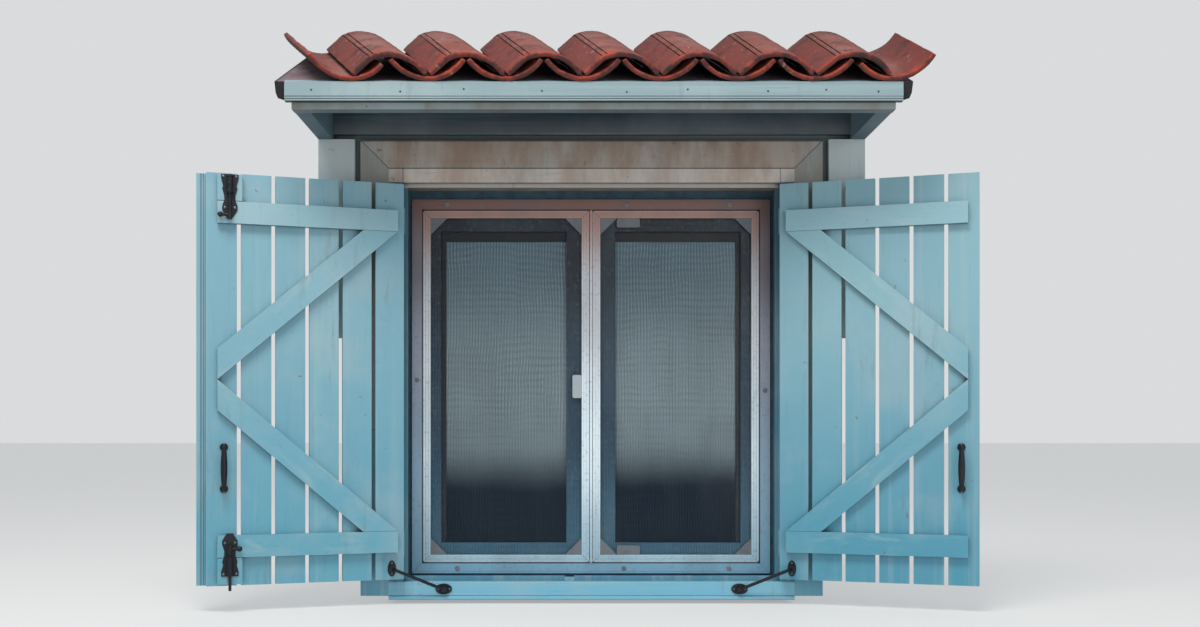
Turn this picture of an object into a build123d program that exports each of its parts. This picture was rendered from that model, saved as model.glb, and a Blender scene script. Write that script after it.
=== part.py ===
"""A pair of boarded window shutters in their timber frame, under a small tiled canopy.

Millimetres. X runs to the right, Y into the wall and Z up. The origin is the middle of the four
wall fixings, on the wall's face. The leaves stand open, held by their stays.
"""

from build123d import *
import math
import os

os.makedirs("parts", exist_ok=True)

SIDES = {"left": -1, "right": 1}

# Timber lining and the casing round it
opening_w = 1200.0
opening_h = 1270.0
lining_t = 45.0
lining_back = 170.0
casing_w = 90.0
casing_t = 20.0
lip_t = 12.0
lip_projection = 6.0
lip_depth = 80.0
board_chamfer = 1.5
wall_hole_r = 4.5
wall_hole_inset = 85.0

# Shutter leaves
leaf_clear = 3.0
leaf_end_clear = 13.0
leaf_tilt = 17.0
plank_count = 6
plank_gap = 12.0
plank_t = 22.0
ledge_t = 20.0
ledge_w = 66.0
ledge_inset = 87.0
ledge_hinge_end = 23.0
ledge_free_end = 33.0
brace_w = 70.0
brace_joint = 0.3
timber_chamfer = 1.0
pad_w = 72.0
pad_h = 79.0
pad_joint = 2.0
astragal_t = 14.0
astragal_over = 22.0
astragal_beyond = 28.0
astragal_clear = 0.7

# Stops that the leaves close against
stop_w = 12.0
stop_sill_h = 16.0
stop_t = 12.0
stop_clear = 1.0
stop_notch = 15.0
strip_joint = 0.2

# Hinges of the leaves
knuckle_r = 6.0
knuckle_stand = 7.0
hinge_h = 80.0
hinge_z = 510.0
hinge_plate_t = 2.5
hinge_plate_w = 42.0
hinge_pin_r = 3.0
pin_clear = 0.06
knuckle_gap = 0.3

# Pull handles
handle_l = 150.0
handle_z = -267.0
handle_from_edge = 52.0
handle_stand = 32.0
handle_grip_r = 10.0
handle_neck_r = 5.5
handle_foot_r = 12.0
handle_foot_t = 4.0

# Surface bolts
bolt_from_edge = 69.0
bolt_plate_t = 3.0
bolt_plate_half = 64.5
bolt_rod_r = 4.5
bolt_clear = 0.15
barrel_r = 8.5
barrel_top = -6.0
barrel_bottom = -62.0
rod_head_r = 7.5
rod_head_h = 27.0
knob_reach = 28.0
knob_peg_r = 5.0
knob_r = 8.0
bolt_throw = 50.0
top_bolt_z = 550.5
top_rod_reach = 110.0
bottom_bolt_z = -527.0
bottom_rod_reach = 117.0
bottom_drawn = 10.0
keeper_clear = 1.5
keeper_depth = 25.0

# Stays that hold the leaves open
rosette_from_jamb = 130.0
rosette_w = 52.0
rosette_h = 34.0
rosette_t = 4.0
stay_stand = 14.0
stay_rod_r = 5.0
stay_eye_r = 10.0
stay_eye_t = 11.0
stay_pin_r = 3.5
stay_shoulder_r = 6.0
stay_cap_r = 8.0
stay_cap_t = 3.0
stay_ring_r = 8.5
stay_ring_w = 5.0
stay_ring_t = 7.0
eye_plate_w = 26.0
eye_plate_h = 50.0
eye_plate_t = 3.0
eye_from_edge = 40.0
eye_above_bottom = 35.0
eye_peg_r = 4.0
eye_peg_l = 12.0
eye_head_r = 6.0
stay_front_clear = 6.0

# Window at the back of the lining
window_gap = 12.0
window_head_gap = 30.0
window_band = 34.0
packing_set_back = 12.0
window_d = 66.0
frame_corner_r = 3.0
mullion_w = 9.0
screen_band = 26.0
screen_t = 12.0
screen_recess = 6.0
screen_clear = 0.5
screen_corner_r = 12.0
mesh_t = 1.0
mesh_back = 5.0
gusset_leg = 54.0
gusset_t = 3.0
tab_w = 30.0
tab_l = 76.0
tab_corner_r = 6.0
sash_gap = 2.0
sash_free_gap = 8.0
sash_t = 44.0
sash_band = 73.0
sash_top_band = 98.0
sash_bottom_band = 62.0
sash_step_side = 15.0
sash_step_top = 32.0
sash_step_depth = 12.0
sash_rose_w = 24.0
glass_t = 8.0
glass_clear = 0.2
glass_from_back = 20.0
sash_hinge_z = 430.0
sash_knuckle_r = 5.0
sash_pin_r = 2.5
sash_hinge_h = 60.0
sash_plate_w = 22.0

# Canopy
canopy_reach = 403.0
post_gap = 17.0
post_w = 115.0
post_t = 30.0
post_drop = 629.0
post_hole_drops = (507.0, 157.0)
tongue_t = 8.0
arm_w = 45.0
back_board_rise = 16.0
back_board_t = 30.0
fascia_over = 16.0
fascia_t = 20.0
fascia_bottom_rise = 17.0
fascia_h = 55.0
reed_h = 5.0
reed_gap = 2.0
beam_t = 40.0
beam_bottom_drop = 2.0
deck_t = 18.0
roof_pitch = 26.0
verge_w = 28.0
verge_h = 52.0
verge_fillet = 20.0

# Clay tiles
cover_count = 7
tile_r = 133.0
tile_t = 14.0
tile_half_angle = 55.0
tile_front_first = -581.0
tile_front_pitch = 220.0
tile_back_first = -735.0
tile_back_pitch = 244.0
tile_nose = 2.0
tile_length = 440.0
tile_seat_clear = 0.3
end_tile_lean = 8.0

# Sizes that follow from the ones above
half_w = opening_w / 2
half_h = opening_h / 2
axis_x = half_w - leaf_clear / 2
rosette_x = half_w - rosette_from_jamb
axis_y = -casing_t - knuckle_stand
leaf_h = opening_h - 2 * leaf_end_clear
leaf_start = leaf_clear / 2
leaf_end = axis_x - leaf_clear / 2
plank_w = (leaf_end - leaf_start - (plank_count - 1) * plank_gap) / plank_count
leaf_outer = knuckle_stand
leaf_inner = leaf_outer + plank_t
ledge_face = leaf_inner + ledge_t
ledge_outer_z = leaf_h / 2 - ledge_inset
ledge_inner_z = ledge_outer_z - ledge_w
ledge_free = leaf_end - ledge_free_end
rod_axis = ledge_face + bolt_plate_t + barrel_r - 1.0
bolt_along = leaf_end - bolt_from_edge
window_front = lining_back - window_d
screen_front = window_front + screen_recess
window_half_w = half_w - window_gap
window_half_h = half_h - (window_gap + window_head_gap) / 2
window_z = (window_gap - window_head_gap) / 2
light_half_w = window_half_w - window_band
light_half_h = window_half_h - window_band
sash_outer = light_half_w - sash_gap
sash_half_h = light_half_h - sash_gap
sash_front = lining_back - sash_t
sash_axis_x = light_half_w
sash_axis_y = lining_back + sash_knuckle_r
beam_front = -canopy_reach + fascia_t
roof_angle = math.radians(roof_pitch)
casing_in = half_w + lining_t
casing_out = casing_in + casing_w
casing_in_z = half_h + lining_t
casing_out_z = casing_in_z + casing_w
wall_hole_x = casing_out - casing_w / 2
wall_hole_z = half_h - wall_hole_inset
post_inner = casing_out + post_gap
arm_outer = post_inner + post_w
arm_bottom = casing_out_z
post_bottom = arm_bottom - post_drop
fascia_bottom = arm_bottom + fascia_bottom_rise
fascia_top = fascia_bottom + fascia_h
tilt = math.radians(leaf_tilt)


def front_plane(y):
    """A plane facing the viewer, at depth y."""
    return Plane.XZ.offset(-y)


def window_plane(y):
    """A plane facing the viewer at depth y, level with the middle of the window."""
    return Plane(origin=(0, y, window_z), x_dir=(1, 0, 0), z_dir=(0, -1, 0))


def leaf_plane(side, depth):
    """A plane along an open leaf, depth in front of its hinge axis. Its x is outward on the right leaf."""
    normal = (-side * math.sin(tilt), -math.cos(tilt), 0)
    origin = (side * axis_x + depth * normal[0], axis_y + depth * normal[1], 0)
    return Plane(origin=origin, x_dir=(math.cos(tilt), -side * math.sin(tilt), 0), z_dir=normal)


def leaf_point(side, along, z, depth):
    """The place of a point of an open leaf, along it from the hinge axis."""
    return leaf_plane(side, depth).from_local_coords(Vector(side * along, z, 0))


def patch(x0, x1, z0, z1):
    """A rectangle between two corners, in the sketch that is open."""
    with Locations(((x0 + x1) / 2, (z0 + z1) / 2)):
        Rectangle(abs(x1 - x0), abs(z1 - z0))


def outline(points):
    """A closed straight-sided face, in the sketch that is open."""
    Polygon(*points, align=None)


def roof_top(y):
    """The height of the deck's upper face at depth y."""
    return fascia_top + (y + canopy_reach) * math.tan(roof_angle)


def roof_under(y):
    """The height of the deck's lower face at depth y."""
    return roof_top(y) - deck_t / math.cos(roof_angle)


# Lining: four boards round the opening
for name, side in SIDES.items():
    with BuildPart() as lining_side:
        with BuildSketch(front_plane(lining_back)):
            patch(side * half_w, side * (half_w + lining_t), -half_h, half_h)
        extrude(amount=lining_back + casing_t)
        chamfer(lining_side.edges().group_by(Axis.Y)[0].filter_by(Axis.Z), board_chamfer)
    lining_side.part.label = f"lining_{name}"
    export_step(lining_side.part, f"parts/lining_{name}.step")

rod_closed_x = -axis_x + bolt_along
rod_closed_y = axis_y + rod_axis
keeper_r = bolt_rod_r + keeper_clear

with BuildPart() as lining_head:
    with BuildSketch(front_plane(lining_back)):
        patch(-half_w - lining_t, half_w + lining_t, half_h, half_h + lining_t)
    extrude(amount=lining_back + casing_t)
    chamfer(lining_head.edges().group_by(Axis.Y)[0].filter_by(Axis.X), board_chamfer)
    with BuildSketch(Plane.XY.offset(half_h)):
        with Locations((rod_closed_x, rod_closed_y)):
            Circle(keeper_r)
    extrude(amount=lining_t, mode=Mode.SUBTRACT)
lining_head.part.label = "lining_head"
export_step(lining_head.part, "parts/lining_head.step")

with BuildPart() as lining_sill:
    with BuildSketch(front_plane(lining_back)):
        patch(-half_w - lining_t, half_w + lining_t, -half_h - lining_t, -half_h)
    extrude(amount=lining_back + casing_t)
    chamfer(lining_sill.edges().group_by(Axis.Y)[0].filter_by(Axis.X), board_chamfer)
    with BuildSketch(Plane.XY.offset(-half_h - keeper_depth)):
        with Locations((rod_closed_x, rod_closed_y)):
            Circle(keeper_r)
    extrude(amount=keeper_depth, mode=Mode.SUBTRACT)
lining_sill.part.label = "lining_sill"
export_step(lining_sill.part, "parts/lining_sill.step")

# Casing: mitred at the top, square at the sill
for name, side in SIDES.items():
    with BuildPart() as casing_side:
        with BuildSketch(front_plane(0)):
            outline([
                (side * casing_in, -casing_in_z),
                (side * casing_out, -casing_in_z),
                (side * casing_out, casing_out_z),
                (side * casing_in, casing_in_z),
            ])
        extrude(amount=casing_t)
        with BuildSketch(front_plane(0)):
            with Locations((side * wall_hole_x, wall_hole_z), (side * wall_hole_x, -wall_hole_z)):
                Circle(wall_hole_r)
        extrude(amount=casing_t, mode=Mode.SUBTRACT)
    casing_side.part.label = f"casing_{name}"
    export_step(casing_side.part, f"parts/casing_{name}.step")

with BuildPart() as casing_head:
    with BuildSketch(front_plane(0)):
        outline([
            (-casing_in, casing_in_z),
            (casing_in, casing_in_z),
            (casing_out, casing_out_z),
            (-casing_out, casing_out_z),
        ])
    extrude(amount=casing_t)
casing_head.part.label = "casing_head"
export_step(casing_head.part, "parts/casing_head.step")

with BuildPart() as sill_lip:
    lip_back = -casing_t - lip_projection + lip_depth
    with BuildSketch(front_plane(lip_back)):
        patch(-casing_in, casing_in, -casing_in_z - lip_t, -casing_in_z)
    extrude(amount=lip_depth)
    fillet(sill_lip.edges().group_by(Axis.Y)[0].filter_by(Axis.X), lip_t / 3)
sill_lip.part.label = "sill_lip"
export_step(sill_lip.part, "parts/sill_lip.step")

# Stops: strips inside the lining, the sill's one cut to let the bottom bolt's rod past
stop_front = axis_y + leaf_inner + stop_clear
with BuildPart() as closing_stops:
    with BuildSketch(front_plane(stop_front + stop_t)):
        for side in SIDES.values():
            patch(side * (half_w - stop_w), side * half_w, -half_h, half_h)
        strip_end = half_w - stop_w - strip_joint
        sill_stop_top = -half_h + stop_sill_h
        patch(-strip_end, strip_end, half_h - stop_w, half_h)
        patch(-strip_end, rod_closed_x - stop_notch, -half_h, sill_stop_top)
        patch(rod_closed_x + stop_notch, strip_end, -half_h, sill_stop_top)
    extrude(amount=stop_t)
closing_stops.part.label = "closing_stops"
export_step(closing_stops.part, "parts/closing_stops.step")

# Window: packing in the gap round it, frame and mullion
with BuildPart() as window_packing:
    with BuildSketch(front_plane(lining_back)):
        Rectangle(opening_w, opening_h)
        with Locations((0, window_z)):
            RectangleRounded(2 * window_half_w, 2 * window_half_h, frame_corner_r, mode=Mode.SUBTRACT)
    extrude(amount=window_d - packing_set_back)
window_packing.part.label = "window_packing"
export_step(window_packing.part, "parts/window_packing.step")

with BuildPart() as window_frame:
    with BuildSketch(window_plane(lining_back)):
        RectangleRounded(2 * window_half_w, 2 * window_half_h, frame_corner_r)
        Rectangle(2 * light_half_w, 2 * light_half_h, mode=Mode.SUBTRACT)
    extrude(amount=window_d)
window_frame.part.label = "window_frame"
export_step(window_frame.part, "parts/window_frame.step")

with BuildPart() as window_mullion:
    with BuildSketch(window_plane(lining_back)):
        Rectangle(mullion_w, 2 * light_half_h)
    extrude(amount=window_d - screen_recess)
    chamfer(window_mullion.edges().group_by(Axis.Y)[0].filter_by(Axis.Z), board_chamfer)
window_mullion.part.label = "window_mullion"
export_step(window_mullion.part, "parts/window_mullion.step")

# Insect screens: a light frame, its mesh, corner gussets and finger tabs
screen_in_x = mullion_w / 2 + screen_clear
screen_out_x = light_half_w - screen_clear
screen_half_h = light_half_h - screen_clear
screen_mid = (screen_in_x + screen_out_x) / 2
screen_w = screen_out_x - screen_in_x
mesh_w = screen_w - 2 * screen_band
mesh_half_h = screen_half_h - screen_band
mesh_y = screen_front + mesh_back

for name, side in SIDES.items():
    with BuildPart() as screen:
        with BuildSketch(window_plane(screen_front + screen_t)):
            with Locations((side * screen_mid, 0)):
                RectangleRounded(screen_w, 2 * screen_half_h, screen_corner_r)
                Rectangle(mesh_w, 2 * mesh_half_h, mode=Mode.SUBTRACT)
        extrude(amount=screen_t)
        with BuildSketch(window_plane(screen_front + 1)):
            with Locations((side * screen_mid, 0)):
                groove_w = screen_w - screen_band
                groove_h = 2 * screen_half_h - screen_band
                Rectangle(groove_w + 1.5, groove_h + 1.5)
                Rectangle(groove_w - 1.5, groove_h - 1.5, mode=Mode.SUBTRACT)
        extrude(amount=1, mode=Mode.SUBTRACT)
    screen.part.label = f"screen_{name}"
    export_step(screen.part, f"parts/screen_{name}.step")

    with BuildPart() as mesh:
        with BuildSketch(window_plane(mesh_y + mesh_t)):
            with Locations((side * screen_mid, 0)):
                Rectangle(mesh_w, 2 * mesh_half_h)
        extrude(amount=mesh_t)
    mesh.part.label = f"mesh_{name}"
    export_step(mesh.part, f"parts/mesh_{name}.step")

with BuildPart() as screen_fittings:
    with BuildSketch(window_plane(mesh_y)):
        for side in SIDES.values():
            for x_end in (-1, 1):
                for z_end in (-1, 1):
                    corner_x = side * screen_mid + x_end * mesh_w / 2
                    corner_z = z_end * mesh_half_h
                    outline([
                        (corner_x, corner_z),
                        (corner_x - x_end * gusset_leg, corner_z),
                        (corner_x, corner_z - z_end * gusset_leg),
                    ])
        tab_x = screen_in_x + screen_band
        tab_middle = tab_x + gusset_leg + strip_joint + tab_l / 2
        with Locations((-tab_x - tab_w / 2, 0)):
            RectangleRounded(tab_w, tab_l, tab_corner_r)
        with Locations((tab_middle, mesh_half_h - tab_w / 2), (tab_middle, tab_w / 2 - mesh_half_h)):
            RectangleRounded(tab_l, tab_w, tab_corner_r)
    extrude(amount=gusset_t)
screen_fittings.part.label = "screen_fittings"
export_step(screen_fittings.part, "parts/screen_fittings.step")

# Sashes: they open into the room on lift-off hinges
sash_half_hinge = sash_hinge_h / 2
for name, side in SIDES.items():
    with BuildPart() as sash:
        with BuildSketch(window_plane(lining_back)):
            patch(side * sash_free_gap, side * sash_outer, -sash_half_h, sash_half_h)
        extrude(amount=sash_t)
        light_inner = sash_free_gap + sash_band
        light_outer = sash_outer - sash_band
        light_low = -sash_half_h + sash_bottom_band
        light_high = sash_half_h - sash_top_band
        with BuildSketch(window_plane(lining_back)):
            patch(side * light_inner, side * light_outer, light_low, light_high)
        extrude(amount=sash_t, mode=Mode.SUBTRACT)
        # A step in the outer stile and the top rail, where the glass sits deeper
        with BuildSketch(window_plane(sash_front + sash_step_depth)):
            step_outer = light_outer + sash_step_side
            step_high = light_high + sash_step_top
            patch(side * light_inner, side * step_outer, light_low, step_high)
        extrude(amount=sash_step_depth, mode=Mode.SUBTRACT)
        chamfer(sash.edges().group_by(Axis.Y)[0], board_chamfer)
        for z in (-sash_hinge_z, sash_hinge_z):
            with BuildSketch(Plane.XY.offset(window_z + z + knuckle_gap)):
                with Locations((side * sash_axis_x, sash_axis_y)):
                    Circle(sash_knuckle_r)
                plate_end = sash_axis_x - sash_plate_w
                patch(side * plate_end, side * sash_axis_x, lining_back, lining_back + hinge_plate_t)
            extrude(amount=sash_half_hinge - knuckle_gap)
            with BuildSketch(Plane.XY.offset(window_z + z + knuckle_gap)):
                with Locations((side * sash_axis_x, sash_axis_y)):
                    Circle(sash_pin_r + pin_clear)
            extrude(amount=sash_half_hinge, mode=Mode.SUBTRACT)
    sash.part.label = f"sash_{name}"
    export_step(sash.part, f"parts/sash_{name}.step")

    with BuildPart() as glass:
        glass_y = lining_back - glass_from_back
        with BuildSketch(window_plane(glass_y)):
            patch(
                side * (light_inner + glass_clear),
                side * (light_outer - glass_clear),
                light_low + glass_clear,
                light_high - glass_clear,
            )
        extrude(amount=glass_t)
    glass.part.label = f"glass_{name}"
    export_step(glass.part, f"parts/glass_{name}.step")

with BuildPart() as sash_frame_hinges:
    for side in SIDES.values():
        for z in (-sash_hinge_z, sash_hinge_z):
            with BuildSketch(Plane.XY.offset(window_z + z - sash_half_hinge)):
                with Locations((side * sash_axis_x, sash_axis_y)):
                    Circle(sash_knuckle_r)
                plate_end = sash_axis_x + sash_plate_w
                patch(side * plate_end, side * sash_axis_x, lining_back, lining_back + hinge_plate_t)
            extrude(amount=sash_half_hinge)
            with BuildSketch(Plane.XY.offset(window_z + z)):
                with Locations((side * sash_axis_x, sash_axis_y)):
                    Circle(sash_pin_r)
            extrude(amount=sash_half_hinge - sash_pin_r)
sash_frame_hinges.part.label = "sash_frame_hinges"
export_step(sash_frame_hinges.part, "parts/sash_frame_hinges.step")

with BuildPart() as sash_handle:
    handle_x = sash_free_gap + sash_band / 2
    rose_t = 8.0
    lever_t = 10.0
    lever_l = 110.0
    with BuildSketch(window_plane(lining_back)):
        with Locations((handle_x, 0)):
            RectangleRounded(sash_rose_w, 2.6 * sash_rose_w, sash_rose_w / 4)
    extrude(amount=-rose_t)
    with BuildSketch(window_plane(lining_back + rose_t)):
        with Locations((handle_x, 0)):
            Circle(sash_rose_w / 3)
    extrude(amount=-3 * rose_t)
    with BuildSketch(window_plane(lining_back + 3 * rose_t)):
        with Locations((handle_x, -lever_l / 2 + sash_rose_w / 2.5)):
            RectangleRounded(0.8 * sash_rose_w, lever_l, sash_rose_w / 3)
    extrude(amount=-lever_t)
sash_handle.part.label = "sash_handle"
export_step(sash_handle.part, "parts/sash_handle.step")

# Leaves: planks, ledges and braces
for name, side in SIDES.items():
    with BuildPart() as planks:
        with BuildSketch(leaf_plane(side, leaf_outer)):
            for i in range(plank_count):
                start = leaf_start + i * (plank_w + plank_gap)
                patch(side * start, side * (start + plank_w), -leaf_h / 2, leaf_h / 2)
        extrude(amount=plank_t)
        chamfer(planks.edges().filter_by(Axis.Z), timber_chamfer)
    planks.part.label = f"{name}_planks"
    export_step(planks.part, f"parts/{name}_planks.step")

    for end_name, end in {"top": 1, "bottom": -1}.items():
        with BuildPart() as ledge:
            with BuildSketch(leaf_plane(side, leaf_inner)):
                patch(
                    side * ledge_hinge_end,
                    side * ledge_free,
                    end * ledge_inner_z,
                    end * ledge_outer_z,
                )
            extrude(amount=ledge_t)
            front_edges = ledge.faces().sort_by(Axis.Y)[0].edges()
            chamfer(front_edges, timber_chamfer)
        ledge.part.label = f"{name}_{end_name}_ledge"
        export_step(ledge.part, f"parts/{name}_{end_name}_ledge.step")

    brace_end = ledge_free - brace_joint
    brace_drop = ledge_inner_z - 2 * brace_joint
    brace_run = brace_end - ledge_hinge_end
    brace_length = math.hypot(brace_run, brace_drop)
    brace_along = brace_w * brace_length / brace_drop
    brace_rise = brace_w * brace_length / brace_run
    with BuildPart() as braces:
        with BuildSketch(leaf_plane(side, leaf_inner)):
            for end in (-1, 1):
                outline([
                    (side * ledge_hinge_end, end * (ledge_inner_z - brace_joint)),
                    (side * (ledge_hinge_end + brace_along), end * (ledge_inner_z - brace_joint)),
                    (side * brace_end, end * (brace_joint + brace_rise)),
                    (side * brace_end, end * brace_joint),
                ])
        extrude(amount=ledge_t)
    braces.part.label = f"{name}_braces"
    export_step(braces.part, f"parts/{name}_braces.step")

with BuildPart() as bolt_pads:
    with BuildSketch(leaf_plane(-1, leaf_inner)):
        for end in (-1, 1):
            pad_start = ledge_outer_z + pad_joint
            patch(-ledge_free, -(ledge_free - pad_w), end * pad_start, end * (pad_start + pad_h))
    extrude(amount=ledge_t)
bolt_pads.part.label = "bolt_pads"
export_step(bolt_pads.part, "parts/bolt_pads.step")

# Astragal: the moulding on the left leaf's outer face that covers the joint
with BuildPart() as astragal:
    nose = leaf_end + astragal_beyond
    root = leaf_end - astragal_over
    face = leaf_outer - astragal_clear
    back = leaf_outer - astragal_t
    astragal_points = [
        (root, leaf_outer),
        (leaf_end, leaf_outer),
        (leaf_end, face),
        (nose, face),
        (nose, back + astragal_t / 2),
        (nose - astragal_t / 2, back + astragal_t / 2),
        (nose - astragal_t / 2, back),
        (root + astragal_t / 3, back),
        (root, back + astragal_t / 3),
    ]
    profile_plane = Plane(
        origin=leaf_point(-1, 0, -leaf_h / 2, 0),
        x_dir=(-math.cos(tilt), -math.sin(tilt), 0),
        z_dir=(0, 0, 1),
    )
    with BuildSketch(profile_plane):
        outline([(along, depth) for along, depth in astragal_points])
    extrude(amount=leaf_h)
astragal.part.label = "astragal"
export_step(astragal.part, "parts/astragal.step")

# Hinges of the leaves: the pin stands in the frame's half, and the leaf lifts off it
half_hinge = hinge_h / 2
for name, side in SIDES.items():
    with BuildPart() as frame_hinges:
        for z in (-hinge_z, hinge_z):
            with BuildSketch(Plane.XY.offset(z - half_hinge)):
                with Locations((side * axis_x, axis_y)):
                    Circle(knuckle_r)
                plate_back = -casing_t
                patch(
                    side * axis_x,
                    side * (axis_x + hinge_plate_w),
                    plate_back - hinge_plate_t,
                    plate_back,
                )
            extrude(amount=half_hinge)
            with BuildSketch(Plane.XY.offset(z)):
                with Locations((side * axis_x, axis_y)):
                    Circle(hinge_pin_r)
            extrude(amount=half_hinge - hinge_pin_r)
    frame_hinges.part.label = f"{name}_frame_hinges"
    export_step(frame_hinges.part, f"parts/{name}_frame_hinges.step")

    with BuildPart() as leaf_hinges:
        for z in (-hinge_z, hinge_z):
            base = leaf_point(side, 0, z + knuckle_gap, 0)
            hinge_plane = Plane(
                origin=base,
                x_dir=(side * math.cos(tilt), -math.sin(tilt), 0),
                z_dir=(0, 0, 1),
            )
            # On the right leaf, the plane's y runs towards the wall
            outward = -side
            with BuildSketch(hinge_plane):
                Circle(knuckle_r)
                patch(
                    0,
                    hinge_plate_w,
                    outward * (leaf_outer - hinge_plate_t),
                    outward * leaf_outer,
                )
            extrude(amount=half_hinge - knuckle_gap)
            with BuildSketch(hinge_plane):
                Circle(hinge_pin_r + pin_clear)
            extrude(amount=half_hinge, mode=Mode.SUBTRACT)
    leaf_hinges.part.label = f"{name}_leaf_hinges"
    export_step(leaf_hinges.part, f"parts/{name}_leaf_hinges.step")

# Pull handles: a spindle grip on two legs
handle_half = handle_l / 2
for name, side in SIDES.items():
    with BuildPart() as handle:
        handle_along = leaf_end - handle_from_edge
        with BuildSketch(leaf_plane(side, leaf_inner)):
            for end in (-1, 1):
                with Locations((side * handle_along, handle_z + end * (handle_half - handle_foot_r))):
                    Circle(handle_foot_r)
        extrude(amount=handle_foot_t)
        with BuildSketch(leaf_plane(side, leaf_inner)):
            for end in (-1, 1):
                with Locations((side * handle_along, handle_z + end * (handle_half - handle_foot_r))):
                    Circle(handle_neck_r)
        extrude(amount=handle_stand)
        grip_centre = leaf_point(side, handle_along, handle_z, leaf_inner + handle_stand)
        grip_half = handle_half - handle_foot_r
        grip_plane = Plane(origin=grip_centre, x_dir=(1, 0, 0), z_dir=(0, -1, 0))
        with BuildSketch(grip_plane):
            with BuildLine():
                Line((0, -grip_half), (handle_neck_r, -grip_half))
                Spline(
                    (handle_neck_r, -grip_half),
                    (handle_grip_r, 0),
                    (handle_neck_r, grip_half),
                )
                Line((handle_neck_r, grip_half), (0, grip_half))
                Line((0, grip_half), (0, -grip_half))
            make_face()
        revolve(axis=Axis(grip_centre, (0, 0, 1)))
        for end in (-1, 1):
            with Locations(grip_centre + Vector(0, 0, end * grip_half)):
                Sphere(handle_neck_r + 0.5)
    handle.part.label = f"{name}_handle"
    export_step(handle.part, f"parts/{name}_handle.step")

# Surface bolts of the left leaf. Each is drawn pointing down, and the top one is turned over
plate_side = [
    (9.0, bolt_plate_half),
    (22.0, bolt_plate_half - 22.0),
    (22.0, bolt_plate_half - 34.0),
    (16.0, bolt_plate_half - 50.0),
    (16.0, bolt_plate_half - 66.0),
    (22.0, bolt_plate_half - 86.0),
    (19.0, bolt_plate_half - 94.0),
    (25.0, 14.0 - bolt_plate_half),
    (25.0, -bolt_plate_half),
]
bolts = {
    "bottom": (bottom_bolt_z, 1, bottom_drawn, bottom_rod_reach),
    "top": (top_bolt_z, -1, bolt_throw, top_rod_reach),
}
for name, (bolt_z, way, drawn_back, rod_reach) in bolts.items():
    def turned(x, z):
        """A point of the bolt on the leaf's plane."""
        return (-bolt_along + way * x, bolt_z + way * z)

    with BuildPart() as bolt_plate:
        with BuildSketch(leaf_plane(-1, ledge_face)):
            right_edge = [turned(x, z) for x, z in plate_side]
            left_edge = [turned(-x, z) for x, z in reversed(plate_side)]
            outline(right_edge + left_edge)
        extrude(amount=bolt_plate_t)
        barrel_length = barrel_top - barrel_bottom
        low_end = min(turned(0, barrel_top)[1], turned(0, barrel_bottom)[1])
        barrel_base = leaf_point(-1, bolt_along, low_end, rod_axis)
        with BuildSketch(Plane(origin=barrel_base, z_dir=(0, 0, 1))):
            Circle(barrel_r)
        extrude(amount=barrel_length)
        with BuildSketch(Plane(origin=barrel_base, z_dir=(0, 0, 1))):
            Circle(bolt_rod_r + bolt_clear)
        extrude(amount=barrel_length, mode=Mode.SUBTRACT)
    bolt_plate.part.label = f"{name}_bolt_plate"
    export_step(bolt_plate.part, f"parts/{name}_bolt_plate.step")

    with BuildPart() as bolt_rod:
        shift = way * drawn_back
        head_low = barrel_top + 0.5
        head_high = head_low + rod_head_h
        rod_ends = sorted([turned(0, -rod_reach)[1] + shift, turned(0, head_low)[1] + shift])
        head_ends = sorted([turned(0, head_low)[1] + shift, turned(0, head_high)[1] + shift])
        rod_base = leaf_point(-1, bolt_along, rod_ends[0], rod_axis)
        outward = leaf_plane(-1, 0).z_dir
        with BuildSketch(Plane(origin=rod_base, x_dir=outward, z_dir=(0, 0, 1))):
            Circle(bolt_rod_r)
        extrude(amount=rod_ends[1] - rod_ends[0])
        head_base = leaf_point(-1, bolt_along, head_ends[0], rod_axis)
        with BuildSketch(Plane(origin=head_base, x_dir=outward, z_dir=(0, 0, 1))):
            Circle(rod_head_r)
        extrude(amount=rod_head_h)
        knob_z = (head_ends[0] + head_ends[1]) / 2
        knob_along = bolt_along - way * knob_reach
        knob_start = leaf_point(-1, bolt_along, knob_z, rod_axis)
        knob_end = leaf_point(-1, knob_along, knob_z, rod_axis)
        with BuildSketch(Plane(origin=knob_start, z_dir=knob_end - knob_start)):
            Circle(knob_peg_r)
        extrude(amount=knob_reach)
        with Locations(knob_end):
            Sphere(knob_r, rotation=(0, 0, 90))
    bolt_rod.part.label = f"{name}_bolt_rod"
    export_step(bolt_rod.part, f"parts/{name}_bolt_rod.step")

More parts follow.
